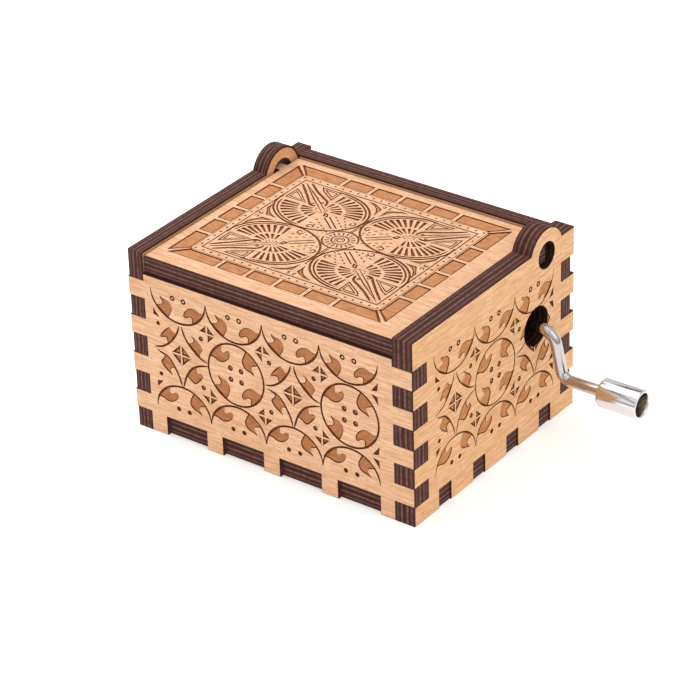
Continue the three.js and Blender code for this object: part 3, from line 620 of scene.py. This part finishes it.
def add_back(made, vertices, rim_loops, back):
    """The panel's inner face, browned along its cut edges."""
    loops = sorted(([vertices[i] for i in loop] for loop in rim_loops), key=lambda p: -abs(area(p)))
    lookup = {(round(u, 3), round(v, 3)): i for i, (u, v) in enumerate(vertices)}
    outline, *holes = loops
    flat, triangles = regions(outline, holes, burnt_band(outline, holes, SMOKE_WIDTH))
    places = []
    for u, v in flat:
        key = (round(u, 3), round(v, 3))
        if key not in lookup:
            lookup[key] = len(vertices)
            vertices.append((u, v))
        places.append(lookup[key])
    for corners, kind in triangles:
        turned = [places[i] for i in corners[::-1]]
        made.add([(i, back) for i in turned], kind, [made.face_uv(i) for i in turned])


# The angles in degrees above which an edge stays sharp
PANEL_CREASE = 30
METAL_CREASE = 40


def add_piece(name, shape, body, materials, nodes, crease=METAL_CREASE, looks=(), uvs=()):
    """A piece from points and faces, which moves with a body and replaces CAD nodes."""
    mesh = bpy.data.meshes.new(name)
    mesh.from_pydata(shape[0], [], shape[1])
    for material in materials:
        mesh.materials.append(material)
    if looks:
        mesh.polygons.foreach_set("material_index", looks)
    if uvs:
        layer = mesh.uv_layers.new(name="panel")
        layer.data.foreach_set("uv", [x for uv in uvs for x in uv])
    mesh.shade_smooth()
    mesh.set_sharp_from_angle(angle=radians(crease))
    mesh.update()
    piece = add_object(name, mesh)
    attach(piece, body)
    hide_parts(*nodes)


# ---- scroll pattern of the walls

# In millimetres. The rises and the drop are measured from the height of the cells' middles.
CELL = 13.1
CIRCLE_RADIUS = 6.5
FESTOON_RISE = 12.85
FESTOON_HEIGHT = 5.85
ARCH_DROP = 12.8
ARCH_HEIGHT = 5.8
NODE_RISE = 6.75

# A circle's leaves, drawn round its centre. Each starts and ends on the circle.
BROAD_LEAF = (
    [(2.55, 6.0), (2.05, 5.0), (1.65, 4.0), (1.6, 3.2), (1.95, 2.4), (2.65, 1.85), (3.35, 1.7),
     (4.3, 1.25)],
    [(4.3, 1.25), (4.35, 1.6), (3.95, 2.2), (3.75, 2.7), (4.05, 3.2), (4.65, 3.4), (5.3, 3.75)])
CURLED_LEAF = (
    [(-3.25, 5.63), (-3.2, 5.0), (-3.25, 4.4), (-2.95, 4.1), (-2.55, 4.15), (-2.05, 4.5), (-1.55, 4.75)],
    [(-1.55, 4.75), (-1.2, 4.4), (-1.2, 3.9), (-1.45, 3.2), (-2.05, 2.5), (-2.75, 2.0), (-3.55, 1.8),
     (-4.35, 1.95), (-5.05, 2.3), (-6.05, 2.35)])


def leaf(first_part, second_part):
    """A leaf's outline: two smooth edges that meet, and the circle between their ends."""
    edge = smooth(first_part)[:-1] + smooth(second_part)
    start, end = (degrees(atan2(v, u)) for u, v in (second_part[-1], first_part[0]))
    return edge + arc(0, 0, CIRCLE_RADIUS, CIRCLE_RADIUS, start, end, 6)[1:-1]


def paint_leaves(art, u, v, side, stretch=1.0):
    """Two leaves in the upper half of a circle, or in its lower half if side is -1."""
    for parts in (BROAD_LEAF, CURLED_LEAF):
        art.patch(moved(leaf(*parts), u, v, side, side * stretch))


def paint_circle(art, u, v):
    for side in (1, -1):
        paint_leaves(art, u, v, side)
    for start in (0, 180):
        art.line(arc(u, v, CIRCLE_RADIUS, CIRCLE_RADIUS, start, start + 180), taper=1)
    for du in (-1.25, 1.25):
        for dv in (-1.2, 1.2):
            art.ring_dot(u + du, v + dv, middle=art.fill)


def paint_half_circle(art, u, v, side, height, dot, rise):
    """A standing half circle, or a hanging one if side is -1, with its leaves and two dots."""
    paint_leaves(art, u, v, side, height / CIRCLE_RADIUS)
    art.line(arc(u, v, CIRCLE_RADIUS, height, 90 - 90 * side, 270 - 90 * side))
    for du in (-1.3, 1.3):
        dot(u + du, v + rise)


# A diamond's four curves, drawn round its centre, each with the free edge of the leaf outside it, which
# starts and ends on the curve
DIAMOND_SIDES = [
    ([(-0.15, 6.3), (-0.4, 5.3), (-0.95, 4.2), (-1.75, 3.0), (-2.65, 2.0), (-3.65, 1.2), (-4.75, 0.6),
      (-6.25, 0.2)],
     [(-0.9, 4.5), (-1.55, 4.6), (-1.95, 5.0), (-2.45, 5.4), (-3.05, 5.1), (-4.05, 4.1), (-4.75, 3.1),
      (-4.85, 2.7), (-4.45, 2.7), (-3.65, 2.95), (-3.2, 2.7), (-3.1, 2.1), (-2.95, 1.75)]),
    ([(0.5, 6.4), (0.85, 5.2), (1.25, 4.3), (1.85, 3.4), (2.75, 2.4), (3.95, 1.4), (5.05, 0.8), (6.4, 0.4)],
     [(1.7, 3.6), (2.45, 3.5), (3.05, 3.85), (3.3, 4.4), (2.95, 4.95), (2.45, 5.2), (3.25, 5.05),
      (4.05, 4.4), (4.85, 3.8), (5.35, 2.9), (4.95, 2.3), (4.65, 1.7), (4.75, 1.0)]),
    ([(-0.1, -6.8), (-0.35, -5.8), (-0.75, -4.7), (-1.35, -3.5), (-2.15, -2.2), (-3.05, -1.3),
      (-3.95, -0.9), (-4.75, -0.7), (-5.75, -0.4)],
     [(-1.45, -3.3), (-2.15, -3.25), (-2.65, -3.7), (-2.6, -4.4), (-2.35, -5.1), (-3.05, -4.65),
      (-3.85, -4.15), (-4.55, -3.5), (-4.95, -2.6), (-4.2, -1.65), (-4.05, -0.9)]),
    ([(0.2, -6.8), (0.5, -5.8), (0.9, -4.6), (1.5, -3.4), (2.1, -2.5), (2.9, -1.7), (3.9, -1.1),
      (5.1, -0.6), (6.5, -0.2)],
     [(1.05, -4.3), (1.5, -4.35), (2.15, -4.75), (2.95, -5.2), (3.85, -4.7), (4.65, -3.8), (5.15, -2.9),
      (4.6, -2.45), (3.95, -2.7), (3.6, -2.0), (3.65, -1.3)]),
]


def between_ends(curve, start, end):
    """The part of a curve from its point nearest to one place to its point nearest to another."""
    first, last = (min(range(len(curve)), key=lambda i: dist(curve[i], p)) for p in (start, end))
    return curve[first:last + 1] if first <= last else curve[last:first + 1][::-1]


def paint_diamond(art, u, v):
    """Four inward curves with a leaf outside each, and a crossed lozenge in the middle."""
    for side, leaf in DIAMOND_SIDES:
        curve = smooth(side)
        edge = smooth(leaf)
        art.patch(moved(edge[1:-1] + between_ends(curve, edge[-1], edge[0]), u, v))
        art.line(moved(curve, u, v))
    paint_lozenge(art, u + 0.1, v + 0.1, 2.4, 2.3)


def paint_lozenge(art, u, v, reach_u, reach_v, skipped=None):
    """Four dark quarters with a lighter triangle in each, and a cross of bare wood between them.
    A skipped quarter is a ringed dot instead."""
    quarters = [(1, 1), (-1, 1), (-1, -1), (1, -1)]
    for number, (su, sv) in enumerate(quarters):
        if number == skipped:
            art.ring_dot(u + su * reach_u * 0.76, v + sv * reach_v * 0.76, 0.52, 0.2, art.fill)
            continue
        corner = [(0.2, 0.2), (reach_u - 0.4, 0.2), (reach_u, 0), (0, reach_v), (0.2, reach_v - 0.4)]
        middle = [(0.46, 0.46), (reach_u - 0.95, 0.46), (0.46, reach_v - 0.95)]
        art.paint("line", moved(corner, u, v, su, sv))
        art.paint(art.fill, moved(middle, u, v, su, sv))


# A lozenge's quarters, in the order in which they are painted
UPPER_RIGHT, UPPER_LEFT, LOWER_LEFT, LOWER_RIGHT = range(4)


def paint_half_lozenge(art, u, v):
    """What is left of a lozenge at the pattern's right edge."""
    for sign in (1, -1):
        art.paint("line", [(u, v + sign * 2.4), (u - 0.2, v + sign * 0.6), (u - 1.6, v + sign * 0.35)])


def paint_lattice(art, u0, v0, kinds):
    """Columns of diamond and circle cells between festoons and arches, from u0 to the right."""
    for column, kind in enumerate(kinds):
        u = u0 + (column + 0.5) * CELL
        paint_cell = paint_circle if kind == "circle" else paint_diamond
        paint_cell(art, u, v0)
        paint_half_circle(art, u, v0 + FESTOON_RISE, -1, FESTOON_HEIGHT, art.ring_dot, -0.85)
        paint_half_circle(art, u, v0 - ARCH_DROP, 1, ARCH_HEIGHT, art.dot, 0.7)
    for column in range(1, len(kinds)):
        u = u0 + column * CELL
        above, below = LOWER_LEFT, UPPER_LEFT
        if kinds[column - 1] == "circle":
            above, below = LOWER_RIGHT, UPPER_RIGHT
        paint_lozenge(art, u, v0 + NODE_RISE, 1.9, 1.9, above)
        paint_lozenge(art, u, v0 - NODE_RISE, 1.9, 1.9, below)
    for row in (1, -1):
        art.dot(u0 + 1.4, v0 + row * 5.5, 0.45)
        corner = [(u0 + 0.4, v0 + row * 8.6), (u0 + 0.4, v0 + row * 7.2), (u0 + 1.9, v0 + row * 6.9)]
        art.paint("line", corner)
        paint_half_lozenge(art, u0 + len(kinds) * CELL, v0 + row * NODE_RISE)


# ---- pattern of the lid

# The signs of u and v in each quarter of the lid
QUARTERS = [(1, 1), (1, -1), (-1, 1), (-1, -1)]

# Along u and v, in millimetres from the pattern's middle. The fan is the one in the first quarter.
BRICK_OUTER = (25.1, 21.1)
BRICK_INNER = (21.9, 18.1)
BRICK_PITCH = (6.6, 5.7)
BRICK_GAP = 0.36
MITRE_GAP = BRICK_GAP * 2.4
FAN_CENTRE = (10.2, 7.85)
FAN_REACH = (9.9, 7.75)
DOT_ROW = (20.95, 17.1)
DOT_PITCH = 1.86


def paint_bricks(art, u, v):
    """A border of engraved bricks, mitred at the corners."""
    for axis, pitch in enumerate(BRICK_PITCH):
        end, far = BRICK_OUTER[axis], BRICK_OUTER[1 - axis]
        near_end, near = BRICK_INNER[axis] - BRICK_GAP, BRICK_INNER[1 - axis]
        splits = [-end, -2 * pitch, -pitch, 0, pitch, 2 * pitch, end]
        for sign in (1, -1):
            for low, high in zip(splits, splits[1:]):
                low += MITRE_GAP if low == -end else BRICK_GAP
                high -= MITRE_GAP if high == end else BRICK_GAP
                brick = [(low, far * sign), (high, far * sign),
                         (min(high, near_end), near * sign), (max(low, -near_end), near * sign)]
                art.patch(moved([p[::-1] for p in brick] if axis else brick, u, v))


def paint_mitres(art, u, v):
    """Two dark lines along each mitre of the brick border."""
    (outer_u, outer_v), (inner_u, inner_v) = BRICK_OUTER, BRICK_INNER
    for su, sv in QUARTERS:
        for du, dv in ((0.0, -0.75), (-0.75, 0.0)):
            ends = [(outer_u + du, outer_v + dv), (inner_u - 0.3 + du * 0.6, inner_v - 0.3 + dv * 0.6)]
            art.line(moved(ends, u, v, su, sv), 0.2, 1)


def paint_border_rules(art, u, v):
    """A row of dots all round, between a fine outer rule and a bolder inner one."""
    reach_u, reach_v = DOT_ROW
    count_u, count_v = (round(2 * reach / DOT_PITCH) for reach in DOT_ROW)
    for i in range(count_u + 1):
        for sign in (1, -1):
            art.dot(u - reach_u + i * 2 * reach_u / count_u, v + sign * reach_v, 0.24)
    for i in range(1, count_v):
        for sign in (1, -1):
            art.dot(u + sign * reach_u, v - reach_v + i * 2 * reach_v / count_v, 0.24)
    for rule_u, rule_v, half in ((21.65, 17.85, 0.07), (20.15, 16.2, 0.13)):
        for sign in (1, -1):
            art.line([(u - rule_u, v + sign * rule_v), (u + rule_u, v + sign * rule_v)], half, 1)
            art.line([(u + sign * rule_u, v - rule_v), (u + sign * rule_u, v + rule_v)], half, 1)


def fan_point(angle, share):
    """A place in the first quarter's fan circle, by angle in degrees and share of its reach."""
    turn = radians(angle)
    return (FAN_CENTRE[0] + FAN_REACH[0] * share * cos(turn),
            FAN_CENTRE[1] + FAN_REACH[1] * share * sin(turn))


def ray(angle, inner, outer, half_inner, half_outer):
    """A ray of a fan between two shares of its reach, with half its width at each."""
    turn = radians(angle)
    near, far = fan_point(angle, inner), fan_point(angle, outer)
    ends = ((near, -half_inner), (far, -half_outer), (far, half_outer), (near, half_inner))
    return [(u - sin(turn) * half, v + cos(turn) * half) for (u, v), half in ends]


def quarter_shapes():
    """The lid's pattern in one quarter, as (kind, points), with both axes pointing to the corner."""
    art = Artwork(0.18, "tint")
    cu, cv = FAN_CENTRE
    ru, rv = FAN_REACH
    art.line(arc(cu, cv, ru, rv, 82, 368, 60), 0.22, 1)
    for start in (90, 270):
        art.line(arc(cu, cv, ru * 0.92, rv * 0.92, start + 2, start + 88, 24))
        for i in range(9):
            art.paint("line", ray(start + 5 + i * 10, 0.5, 0.86, 0.15, 0.38))
        for i in range(5):
            art.paint("line", ray(start + 9 + i * 18, 0.19, 0.43, 0.1, 0.33))
    for i in range(10):
        art.dot(*fan_point(i * 36, 0.12), 0.15)
    paint_corner_spear(art)
    art.nest([(14.4, 8.6), (19.5, 8.6), (19.4, 12.6), (17.9, 11.7)])
    art.nest([(10.9, 11.9), (14.6, 14.3), (15.6, 15.6), (10.9, 15.6)])
    paint_shaft(art)
    paint_side_ornaments(art)
    return art.shapes


def paint_corner_spear(art):
    """A spear from the fan's middle to the corner: its two sides, its shaft and two eyes."""
    lower = [(19.7, 14.6), (17.9, 12.9), (16.2, 11.3), (14.6, 9.7), (13.4, 8.5), (12.1, 8.5)]
    upper = [(18.2, 15.7), (15.4, 13.6), (12.9, 12.1), (11.1, 11.0), (10.6, 9.5)]
    for side in (lower, upper):
        art.line(smooth(side), 0.26, 0.6)
    for du, dv in ((-0.22, 0.3), (0.22, -0.3)):
        art.line([(9.2 + du, 7.3 + dv), (14.0 + du, 11.1 + dv), (19.3, 15.3)], 0.16)
    for u, v in ((13.2, 9.1), (11.7, 10.3)):
        art.ring_dot(u, v, 0.36, 0.14)


def dash(art, u, v, du, dv):
    art.line([(u, v), (u + du, v + dv)], 0.14, 1)


def paint_shaft(art):
    """The spear's shaft towards the lid's middle, its eye, and rows of dashes on both sides."""
    art.paint("line", [(9.0, 7.3), (8.0, 7.2), (7.4, 6.0), (8.6, 6.1)])
    art.paint("surface", [(8.5, 6.9), (8.2, 6.85), (7.95, 6.45), (8.35, 6.45)])
    art.line([(7.2, 6.4), (3.4, 3.3)], 0.22, 0.7)
    art.line([(7.9, 5.7), (4.1, 2.7)], 0.22, 0.7)
    for i in range(5):
        dash(art, 8.9 - 1.1 * i, 4.4 - 0.75 * i, -0.55, -0.3)
        dash(art, 6.2 - 0.95 * i, 7.1 - 0.8 * i, -0.45, -0.4)
    for i in range(4):
        dash(art, 9.2 - 1.2 * i, 2.9 - 0.5 * i, -0.5, -0.2)
        dash(art, 4.5 - 0.75 * i, 7.6 - 0.95 * i, -0.3, -0.4)


def curl(u, v, radius, start, turn):
    """A short spiral that opens from its middle."""
    points = []
    for i in range(15):
        share = i / 14
        angle = radians(start + turn * share)
        reach = radius * (0.3 + 0.7 * share)
        points.append((u + reach * cos(angle), v + reach * sin(angle)))
    return points


def paint_side_ornaments(art):
    """Curls inside the fan's circle, and a leaf with a curl between two circles and the border."""
    art.line(curl(8.3, 1.35, 0.85, 200, 360), 0.15)
    art.line(curl(1.85, 6.3, 0.8, 70, -360), 0.15)
    art.patch(smooth([(15.3, 0.55), (17.4, 1.5), (18.7, 2.9), (19.5, 4.9)])
              + [(19.6, 3.1), (18.6, 1.6), (18.0, 0.55)])
    art.patch(smooth([(0.55, 11.4), (1.3, 13.3), (2.7, 14.7), (4.8, 15.5)])
              + [(3.2, 15.6), (1.7, 14.9), (0.55, 14.2)])
    art.line(curl(19.1, 0.75, 0.5, 90, 300), 0.14)
    art.line(curl(0.75, 15.2, 0.45, 0, -300), 0.14)


def paint_medallion(art, u, v):
    """Two rings with rays between them, round a spiral."""
    for sign in (1, -1):
        art.line(arc(u, v, 3.5, 3.4, 95 - 90 * sign, 265 - 90 * sign), 0.18, 0.6)
        art.line(arc(u, v, 1.7, 1.6, 90 - 90 * sign, 270 - 90 * sign), 0.14, 1)
    for i in range(18):
        angle = radians(i * 20 + 10)
        across, along = cos(angle), sin(angle)
        art.line([(u + across * 2.1, v + along * 2.0), (u + across * 3.0, v + along * 2.9)], 0.2, 0.7)
    art.line(curl(u, v, 1.15, 0, 620), 0.13)


def paint_lid(art, u, v):
    paint_bricks(art, u, v)
    paint_mitres(art, u, v)
    paint_border_rules(art, u, v)
    shapes = quarter_shapes()
    for su, sv in QUARTERS:
        for kind, points in shapes:
            art.paint(kind, moved(points, u, v, su, sv))
    for sign in (1, -1):
        for side in (-0.2, 0.2):
            art.line([(u + side, v + sign * 3.4), (u + side, v + sign * 7.5)], 0.11, 1)
        art.line([(u, v + sign * 7.3), (u, v + sign * 11.0)], 0.24, 0.6)
    paint_medallion(art, u, v)


# ---- metal and nylon materials


def metal_material(name, light, dark, roughness, spread, bump=0.02):
    """A metal whose tone and gloss wander slightly over the surface."""
    recipe = Recipe(name, roughness, metallic=1.0)
    broad = recipe.noise(recipe.place(), 260, 3)
    fine = recipe.noise(recipe.place(), 2400, 3)
    recipe.set("Base Color", recipe.ramp(broad, [(0.3, (*dark, 1)), (0.7, (*light, 1))]))
    gloss = [(0.3, roughness - spread), (0.7, roughness + spread)]
    recipe.set("Roughness", recipe.ramp(fine, gloss))
    recipe.bump(fine, bump, 0.0001)
    return recipe.material


def nylon_material():
    recipe = Recipe("natural_nylon", roughness=0.45)
    cloud = recipe.noise(recipe.place(), 320, 3)
    recipe.set("Base Color", recipe.ramp(cloud, [(0.3, srgb(226, 220, 200)), (0.7, srgb(240, 236, 222))]))
    recipe.bump(cloud, 0.05, 0.0001)
    return recipe.material


def dress(node, material, bevel):
    """Gives a CAD node its material, and a bevel in millimetres along its edges if that is not 0."""
    piece = frame["nodes"][node]
    piece.data.materials.clear()
    piece.data.materials.append(material)
    if bevel:
        edge = piece.modifiers.new("edge", "BEVEL")
        edge.width = bevel * MM
        edge.segments = 2
        edge.limit_method = "ANGLE"
        edge.angle_limit = radians(METAL_CREASE)


# ---- crank


def sweep(rings, ring_shaped=False):
    """A tube through rings of points: closed by its two ends, or joined to its own start."""
    count = len(rings[0])
    points = [p for ring in rings for p in ring]
    faces = []
    for k in range(len(rings) if ring_shaped else len(rings) - 1):
        here, there = k * count, (k + 1) % len(rings) * count
        for i in range(count):
            j = (i + 1) % count
            faces.append((here + i, here + j, there + j, there + i))
    if not ring_shaped:
        faces.append(tuple(range(count))[::-1])
        faces.append(tuple(len(points) - count + i for i in range(count)))
    return points, faces


def lathe(profile, y, z, count=48, ring_shaped=False):
    """Turns a profile of (x, radius) in millimetres about a line along X at (y, z) in metres."""
    turns = [2 * pi * i / count for i in range(count)]
    rings = [[Vector((x * MM, y + radius * MM * cos(a), z + radius * MM * sin(a))) for a in turns]
             for x, radius in profile]
    return sweep(rings, ring_shaped)


def rounded(corners, radius, steps=4):
    """An open run of corners with each inner one rounded."""
    made = [corners[0]]
    for before, here, after in zip(corners, corners[1:], corners[2:]):
        before, here, after = (Vector(p) for p in (before, here, after))
        reach = min(radius, (before - here).length * 0.45, (after - here).length * 0.45)
        start = here + (before - here).normalized() * reach
        end = here + (after - here).normalized() * reach
        for i in range(steps + 1):
            t = i / steps
            made.append(tuple(start * (1 - t) ** 2 + here * 2 * t * (1 - t) + end * t * t))
    return made + [corners[-1]]


BEND_STEPS = 16


def bent_wire(corners, bends, radius, count=40):
    """Rings along a wire that lies in a plane square to Y, with a round bend at each inner corner."""
    path = [corners[0]]
    for before, here, after, bend in zip(corners, corners[1:], corners[2:], bends):
        back, ahead = (before - here).normalized(), (after - here).normalized()
        half_angle = back.angle(ahead) / 2
        centre = here + (back + ahead).normalized() * bend / sin(half_angle)
        start = here + back * bend / tan(half_angle)
        swing = pi - 2 * half_angle
        axis = back.cross(ahead).normalized()
        for i in range(BEND_STEPS + 1):
            turn = Matrix.Rotation(-swing * i / BEND_STEPS, 3, axis)
            path.append(centre + turn @ (start - centre))
    path.append(corners[-1])
    across = Vector((0, 1, 0))
    rings = []
    for i, place in enumerate(path):
        along = (path[min(i + 1, len(path) - 1)] - path[max(i - 1, 0)]).normalized()
        up = along.cross(across)
        rings.append([place + (across * cos(a) + up * sin(a)) * radius
                      for a in (2 * pi * k / count for k in range(count))])
    return rings


# In millimetres: how far the elbow stands out from the right panel, how far the arm slants out, and
# the radii of the wire's two bends
ELBOW_OUT = 3.9
ARM_SLANT = 2.1
ELBOW_BEND = 3.2
GRIP_BEND = 2.2


def build_crank_wire(material):
    """The bent wire: out of the worm shaft, down a slanting arm, and through the knob to its head."""
    low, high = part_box("crank_handle")
    shaft_low, shaft_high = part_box("worm_shaft")
    knob_low, knob_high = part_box("crank_knob")
    washer_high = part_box("knob_washer")[1]
    shaft, knob = (shaft_low + shaft_high) / 2, (knob_low + knob_high) / 2
    radius = high.z - shaft.z
    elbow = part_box("right_panel")[1].x + ELBOW_OUT * MM
    corners = [Vector((low.x, shaft.y, shaft.z)), Vector((elbow, shaft.y, shaft.z)),
               Vector((elbow + ARM_SLANT * MM, shaft.y, knob.z)), Vector((washer_high.x, shaft.y, knob.z))]
    wire = sweep(bent_wire(corners, (ELBOW_BEND * MM, GRIP_BEND * MM), radius))
    add_piece("crank_wire", wire, "crank", [material], ["crank_handle"])
    head_radius = (high.y - low.y) / 2 / MM
    start, end = washer_high.x / MM, high.x / MM
    profile = rounded([(start, 0.05), (start, head_radius), (end, head_radius * 0.8), (end, 0.05)], 0.3)
    head = lathe(profile, knob.y, knob.z)
    add_piece("crank_wire_head", head, "crank", [material], ["crank_handle"])


# In millimetres: the radius of the knob's bore, and the play round the wire and under the washer
KNOB_BORE = 2.25
WIRE_PLAY = 0.08
WASHER_PLAY = 0.15
KNOB_SIDES = 72


def build_knob(shell, bore):
    """A turned sleeve with soft rims, a floor that the wire passes through and a duller bore."""
    low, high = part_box("crank_knob")
    shaft_low, shaft_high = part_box("worm_shaft")
    wire_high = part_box("crank_handle")[1]
    middle = (low + high) / 2
    wire_hole = (wire_high.z - (shaft_low.z + shaft_high.z) / 2) / MM + WIRE_PLAY
    radius = (high.z - low.z) / 2 / MM
    start, end = low.x / MM, high.x / MM
    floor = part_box("knob_washer")[0].x / MM - WASHER_PLAY
    profile = rounded([(floor, wire_hole), (start, wire_hole), (start, radius), (end, radius),
                       (end, KNOB_BORE + 0.12), (end - 0.5, KNOB_BORE)], 0.45)
    shell_bands = len(profile) - 1
    profile += [(floor + 0.3, KNOB_BORE), (floor, KNOB_BORE - 0.3)]
    sleeve = lathe(profile, middle.y, middle.z, KNOB_SIDES, True)
    looks = [int(band >= shell_bands) for band in range(len(profile)) for i in range(KNOB_SIDES)]
    add_piece("knob_sleeve", sleeve, "knob", [shell, bore], ["crank_knob"], looks=looks)


# ---- stage and light


FLOOR_REACH = 4
FLOOR_GLOW = 0.35


def add_floor():
    """A wide, nearly white floor that glows a little."""
    recipe = Recipe("floor", roughness=0.9)
    cloud = recipe.noise(recipe.place(), 0.6, 2)
    recipe.set("Base Color", recipe.ramp(cloud, [(0.3, 0.93), (0.7, 0.95)]))
    recipe.set("Emission Color", (1, 1, 1, 1))
    recipe.set("Emission Strength", FLOOR_GLOW)
    corners = [(u * FLOOR_REACH, v * FLOOR_REACH, 0) for u, v in ((-1, -1), (1, -1), (1, 1), (-1, 1))]
    mesh = bpy.data.meshes.new("floor")
    mesh.from_pydata(corners, [], [(0, 1, 2, 3)])
    mesh.materials.append(recipe.material)
    floor = add_object("floor", mesh)


# Name, azimuth and elevation in degrees, distance and size in metres, power in watts, colour
LIGHTS = [
    ("key", 80, 45, 0.9, 0.6, 1.0, (1.0, 0.93, 0.86)),
    ("front", -15, 35, 0.9, 0.6, 0.36, (1.0, 0.95, 0.97)),
    ("top", 0, 85, 0.9, 0.7, 0.8, (1.0, 0.95, 0.93)),
    ("rim", -105, 55, 0.28, 0.25, 0.32, (1.0, 0.96, 0.97)),
]


def add_light(name, azimuth, elevation, distance, size, power, color):
    """A soft square light that faces the object."""
    direction = from_angles(azimuth, elevation)
    data = bpy.data.lights.new(name, "AREA")
    data.size = size
    data.energy = power
    data.color = color
    light = add_object(name, data)
    light.location = direction * distance
    light.rotation_mode = "QUATERNION"
    light.rotation_quaternion = (-direction).to_track_quat("-Z", "Y")


# The seam is the great circle of directions square to this one
SEAM_NORMAL = (0.85, 0, 0.52)
WORLD_STRENGTH = 0.8


def add_world():
    """A pale studio: greyer low down, with a dark seam from front to back, high on the left."""
    world = bpy.data.worlds.new("studio")
    bpy.context.scene.world = world
    world.use_nodes = True
    nodes = Nodes(world.node_tree)
    background = world.node_tree.nodes["Background"]
    direction = nodes.node("TexCoord").outputs["Generated"]
    height = nodes.node("SeparateXYZ", Vector=direction).outputs["Z"]
    rise = nodes.ramp(height, [(0.02, (0.3, 0.29, 0.3, 1)), (0.22, (1.0, 0.985, 0.97, 1))])
    seam = nodes.node("VectorMath", {"operation": "DOT_PRODUCT"}, Vector=direction)
    seam.inputs[1].default_value = SEAM_NORMAL
    side = nodes.math("ABSOLUTE", seam.outputs["Value"])
    gap = nodes.ramp(side, [(0.03, (0.03, 0.03, 0.035, 1)), (0.07, 1)])
    nodes.feed(background.inputs["Color"], nodes.mix(1.0, rise, gap, "MULTIPLY"))
    nodes.feed(background.inputs["Strength"], WORLD_STRENGTH)


# ---- build

add_camera()
add_world()
add_floor()
for light in LIGHTS:
    add_light(*light)

line_look = burnt_material("engraved_line", *LINE)
scorch_look = burnt_material("scorched_rim", CHAR[1], LINE[0])
shallow_look = burnt_material("shallow_line", *SHALLOW)
edge_look = edge_material("burnt_edge", (1, 1, 1, 1))
# The hole walls' charred edge, darkened to about a third: painted shade inside the holes.
bore_look_painted_shade = edge_material("burnt_bore_painted_shade", (0.35, 0.33, 0.33, 1))


def panel_looks(name, cast, lines):
    """Materials in the order of LOOKS. Each sheet of ply has its own cast; the amber one is painted light,
    a warmer, darker tone for the warmer, dimmer light on the right side.
    """
    return [
        wood_material("plywood_" + name, cast),
        engraved_material("light_engraving_" + name, *TINT, cast),
        engraved_material("engraving_" + name, *FILL, cast),
        lines, scorch_look, edge_look, bore_look_painted_shade]


pink_ply = panel_looks("pink", (1.0, 0.985, 0.99, 1), line_look)
# The amber cast is painted light: it makes the side and bottom panels warmer and darker, standing in for
# the warmer, dimmer light on the right side.
amber_ply_painted_light = panel_looks("amber", (0.985, 0.93, 0.8, 1), line_look)
rose_ply = panel_looks("rose", (1.0, 0.985, 1.0, 1), shallow_look)

LONG_WALL = ["diamond", "circle", "diamond", "circle"]
SHORT_WALL = ["diamond", "circle", "diamond"]


def wall(node, u_axis, start, height, kinds, *style):
    """A wall and its pattern, by the pattern's start from the left edge and the cells' height."""
    sheet = Sheet(node, u_axis, (0, 0, 1))
    art = Artwork(*style)
    paint_lattice(art, sheet.left + start, sheet.foot + height, kinds)
    return sheet, art


lid = Sheet("lid_panel", (1, 0, 0), (0, 1, 0))
lid_art = Artwork(0.17, "tint")
paint_lid(lid_art, (lid.left + lid.right) / 2 - 1.75, (lid.foot + lid.top) / 2 + 0.95)

PANELS = [
    (*wall("front_panel", (1, 0, 0), 5.25, 19.0, LONG_WALL), "case", pink_ply),
    (*wall("back_panel", (-1, 0, 0), 6.3, 19.0, LONG_WALL), "case", pink_ply),
    (*wall("right_panel", (0, 1, 0), 6.6, 19.95, SHORT_WALL, FINE_STROKE, "tint"), "case", amber_ply_painted_light),
    (*wall("left_panel", (0, -1, 0), 7.1, 19.95, SHORT_WALL, FINE_STROKE, "tint"), "case", amber_ply_painted_light),
    (Sheet("bottom_panel", (1, 0, 0), (0, -1, 0)), Artwork(), "case", amber_ply_painted_light),
    (lid, lid_art, "lid", rose_ply),
]
for number, (sheet, art, body, looks) in enumerate(PANELS, 1):
    build_panel(sheet, art, GRAIN_STEP * number, body, looks)

chrome = metal_material("chrome_plate", (0.76, 0.74, 0.755), (0.7, 0.68, 0.695), 0.14, 0.03)
wire_chrome = metal_material("plated_wire", (0.6, 0.57, 0.58), (0.5, 0.47, 0.48), 0.13, 0.04)
bore_chrome = metal_material("dull_bore", (0.78, 0.74, 0.66), (0.58, 0.53, 0.45), 0.2, 0.08, 0.2)
steel = metal_material("zinc_plated_steel", (0.66, 0.67, 0.69), (0.52, 0.53, 0.55), 0.32, 0.08)
screw_steel = metal_material("screw_steel", (0.6, 0.6, 0.62), (0.45, 0.45, 0.47), 0.3, 0.08)
comb_steel = metal_material("ground_comb_steel", (0.62, 0.63, 0.65), (0.48, 0.49, 0.5), 0.36, 0.06)
brass = metal_material("polished_brass", (0.83, 0.62, 0.27), (0.7, 0.5, 0.2), 0.25, 0.06)
zinc = metal_material("cast_zinc", (0.5, 0.51, 0.52), (0.36, 0.37, 0.38), 0.5, 0.1, 0.15)

# The material and the bevel in millimetres of the CAD nodes that keep their mesh, by slot
METALS = {
    "cast_zinc": (zinc, 0.25), "plated_steel": (steel, 0.12), "screw_steel": (screw_steel, 0.06),
    "comb_steel": (comb_steel, 0.0), "brass": (brass, 0.0), "chrome": (chrome, 0.0),
    "nylon": (nylon_material(), 0.08)}
build_crank_wire(wire_chrome)
build_knob(chrome, bore_chrome)
for part in frame["record"]["subparts"]:
    if part["material_slot"] in METALS:
        dress(part["node"], *METALS[part["material_slot"]])

bpy.context.scene.view_settings.view_transform = "Standard"
bpy.context.scene.view_settings.look = "None"
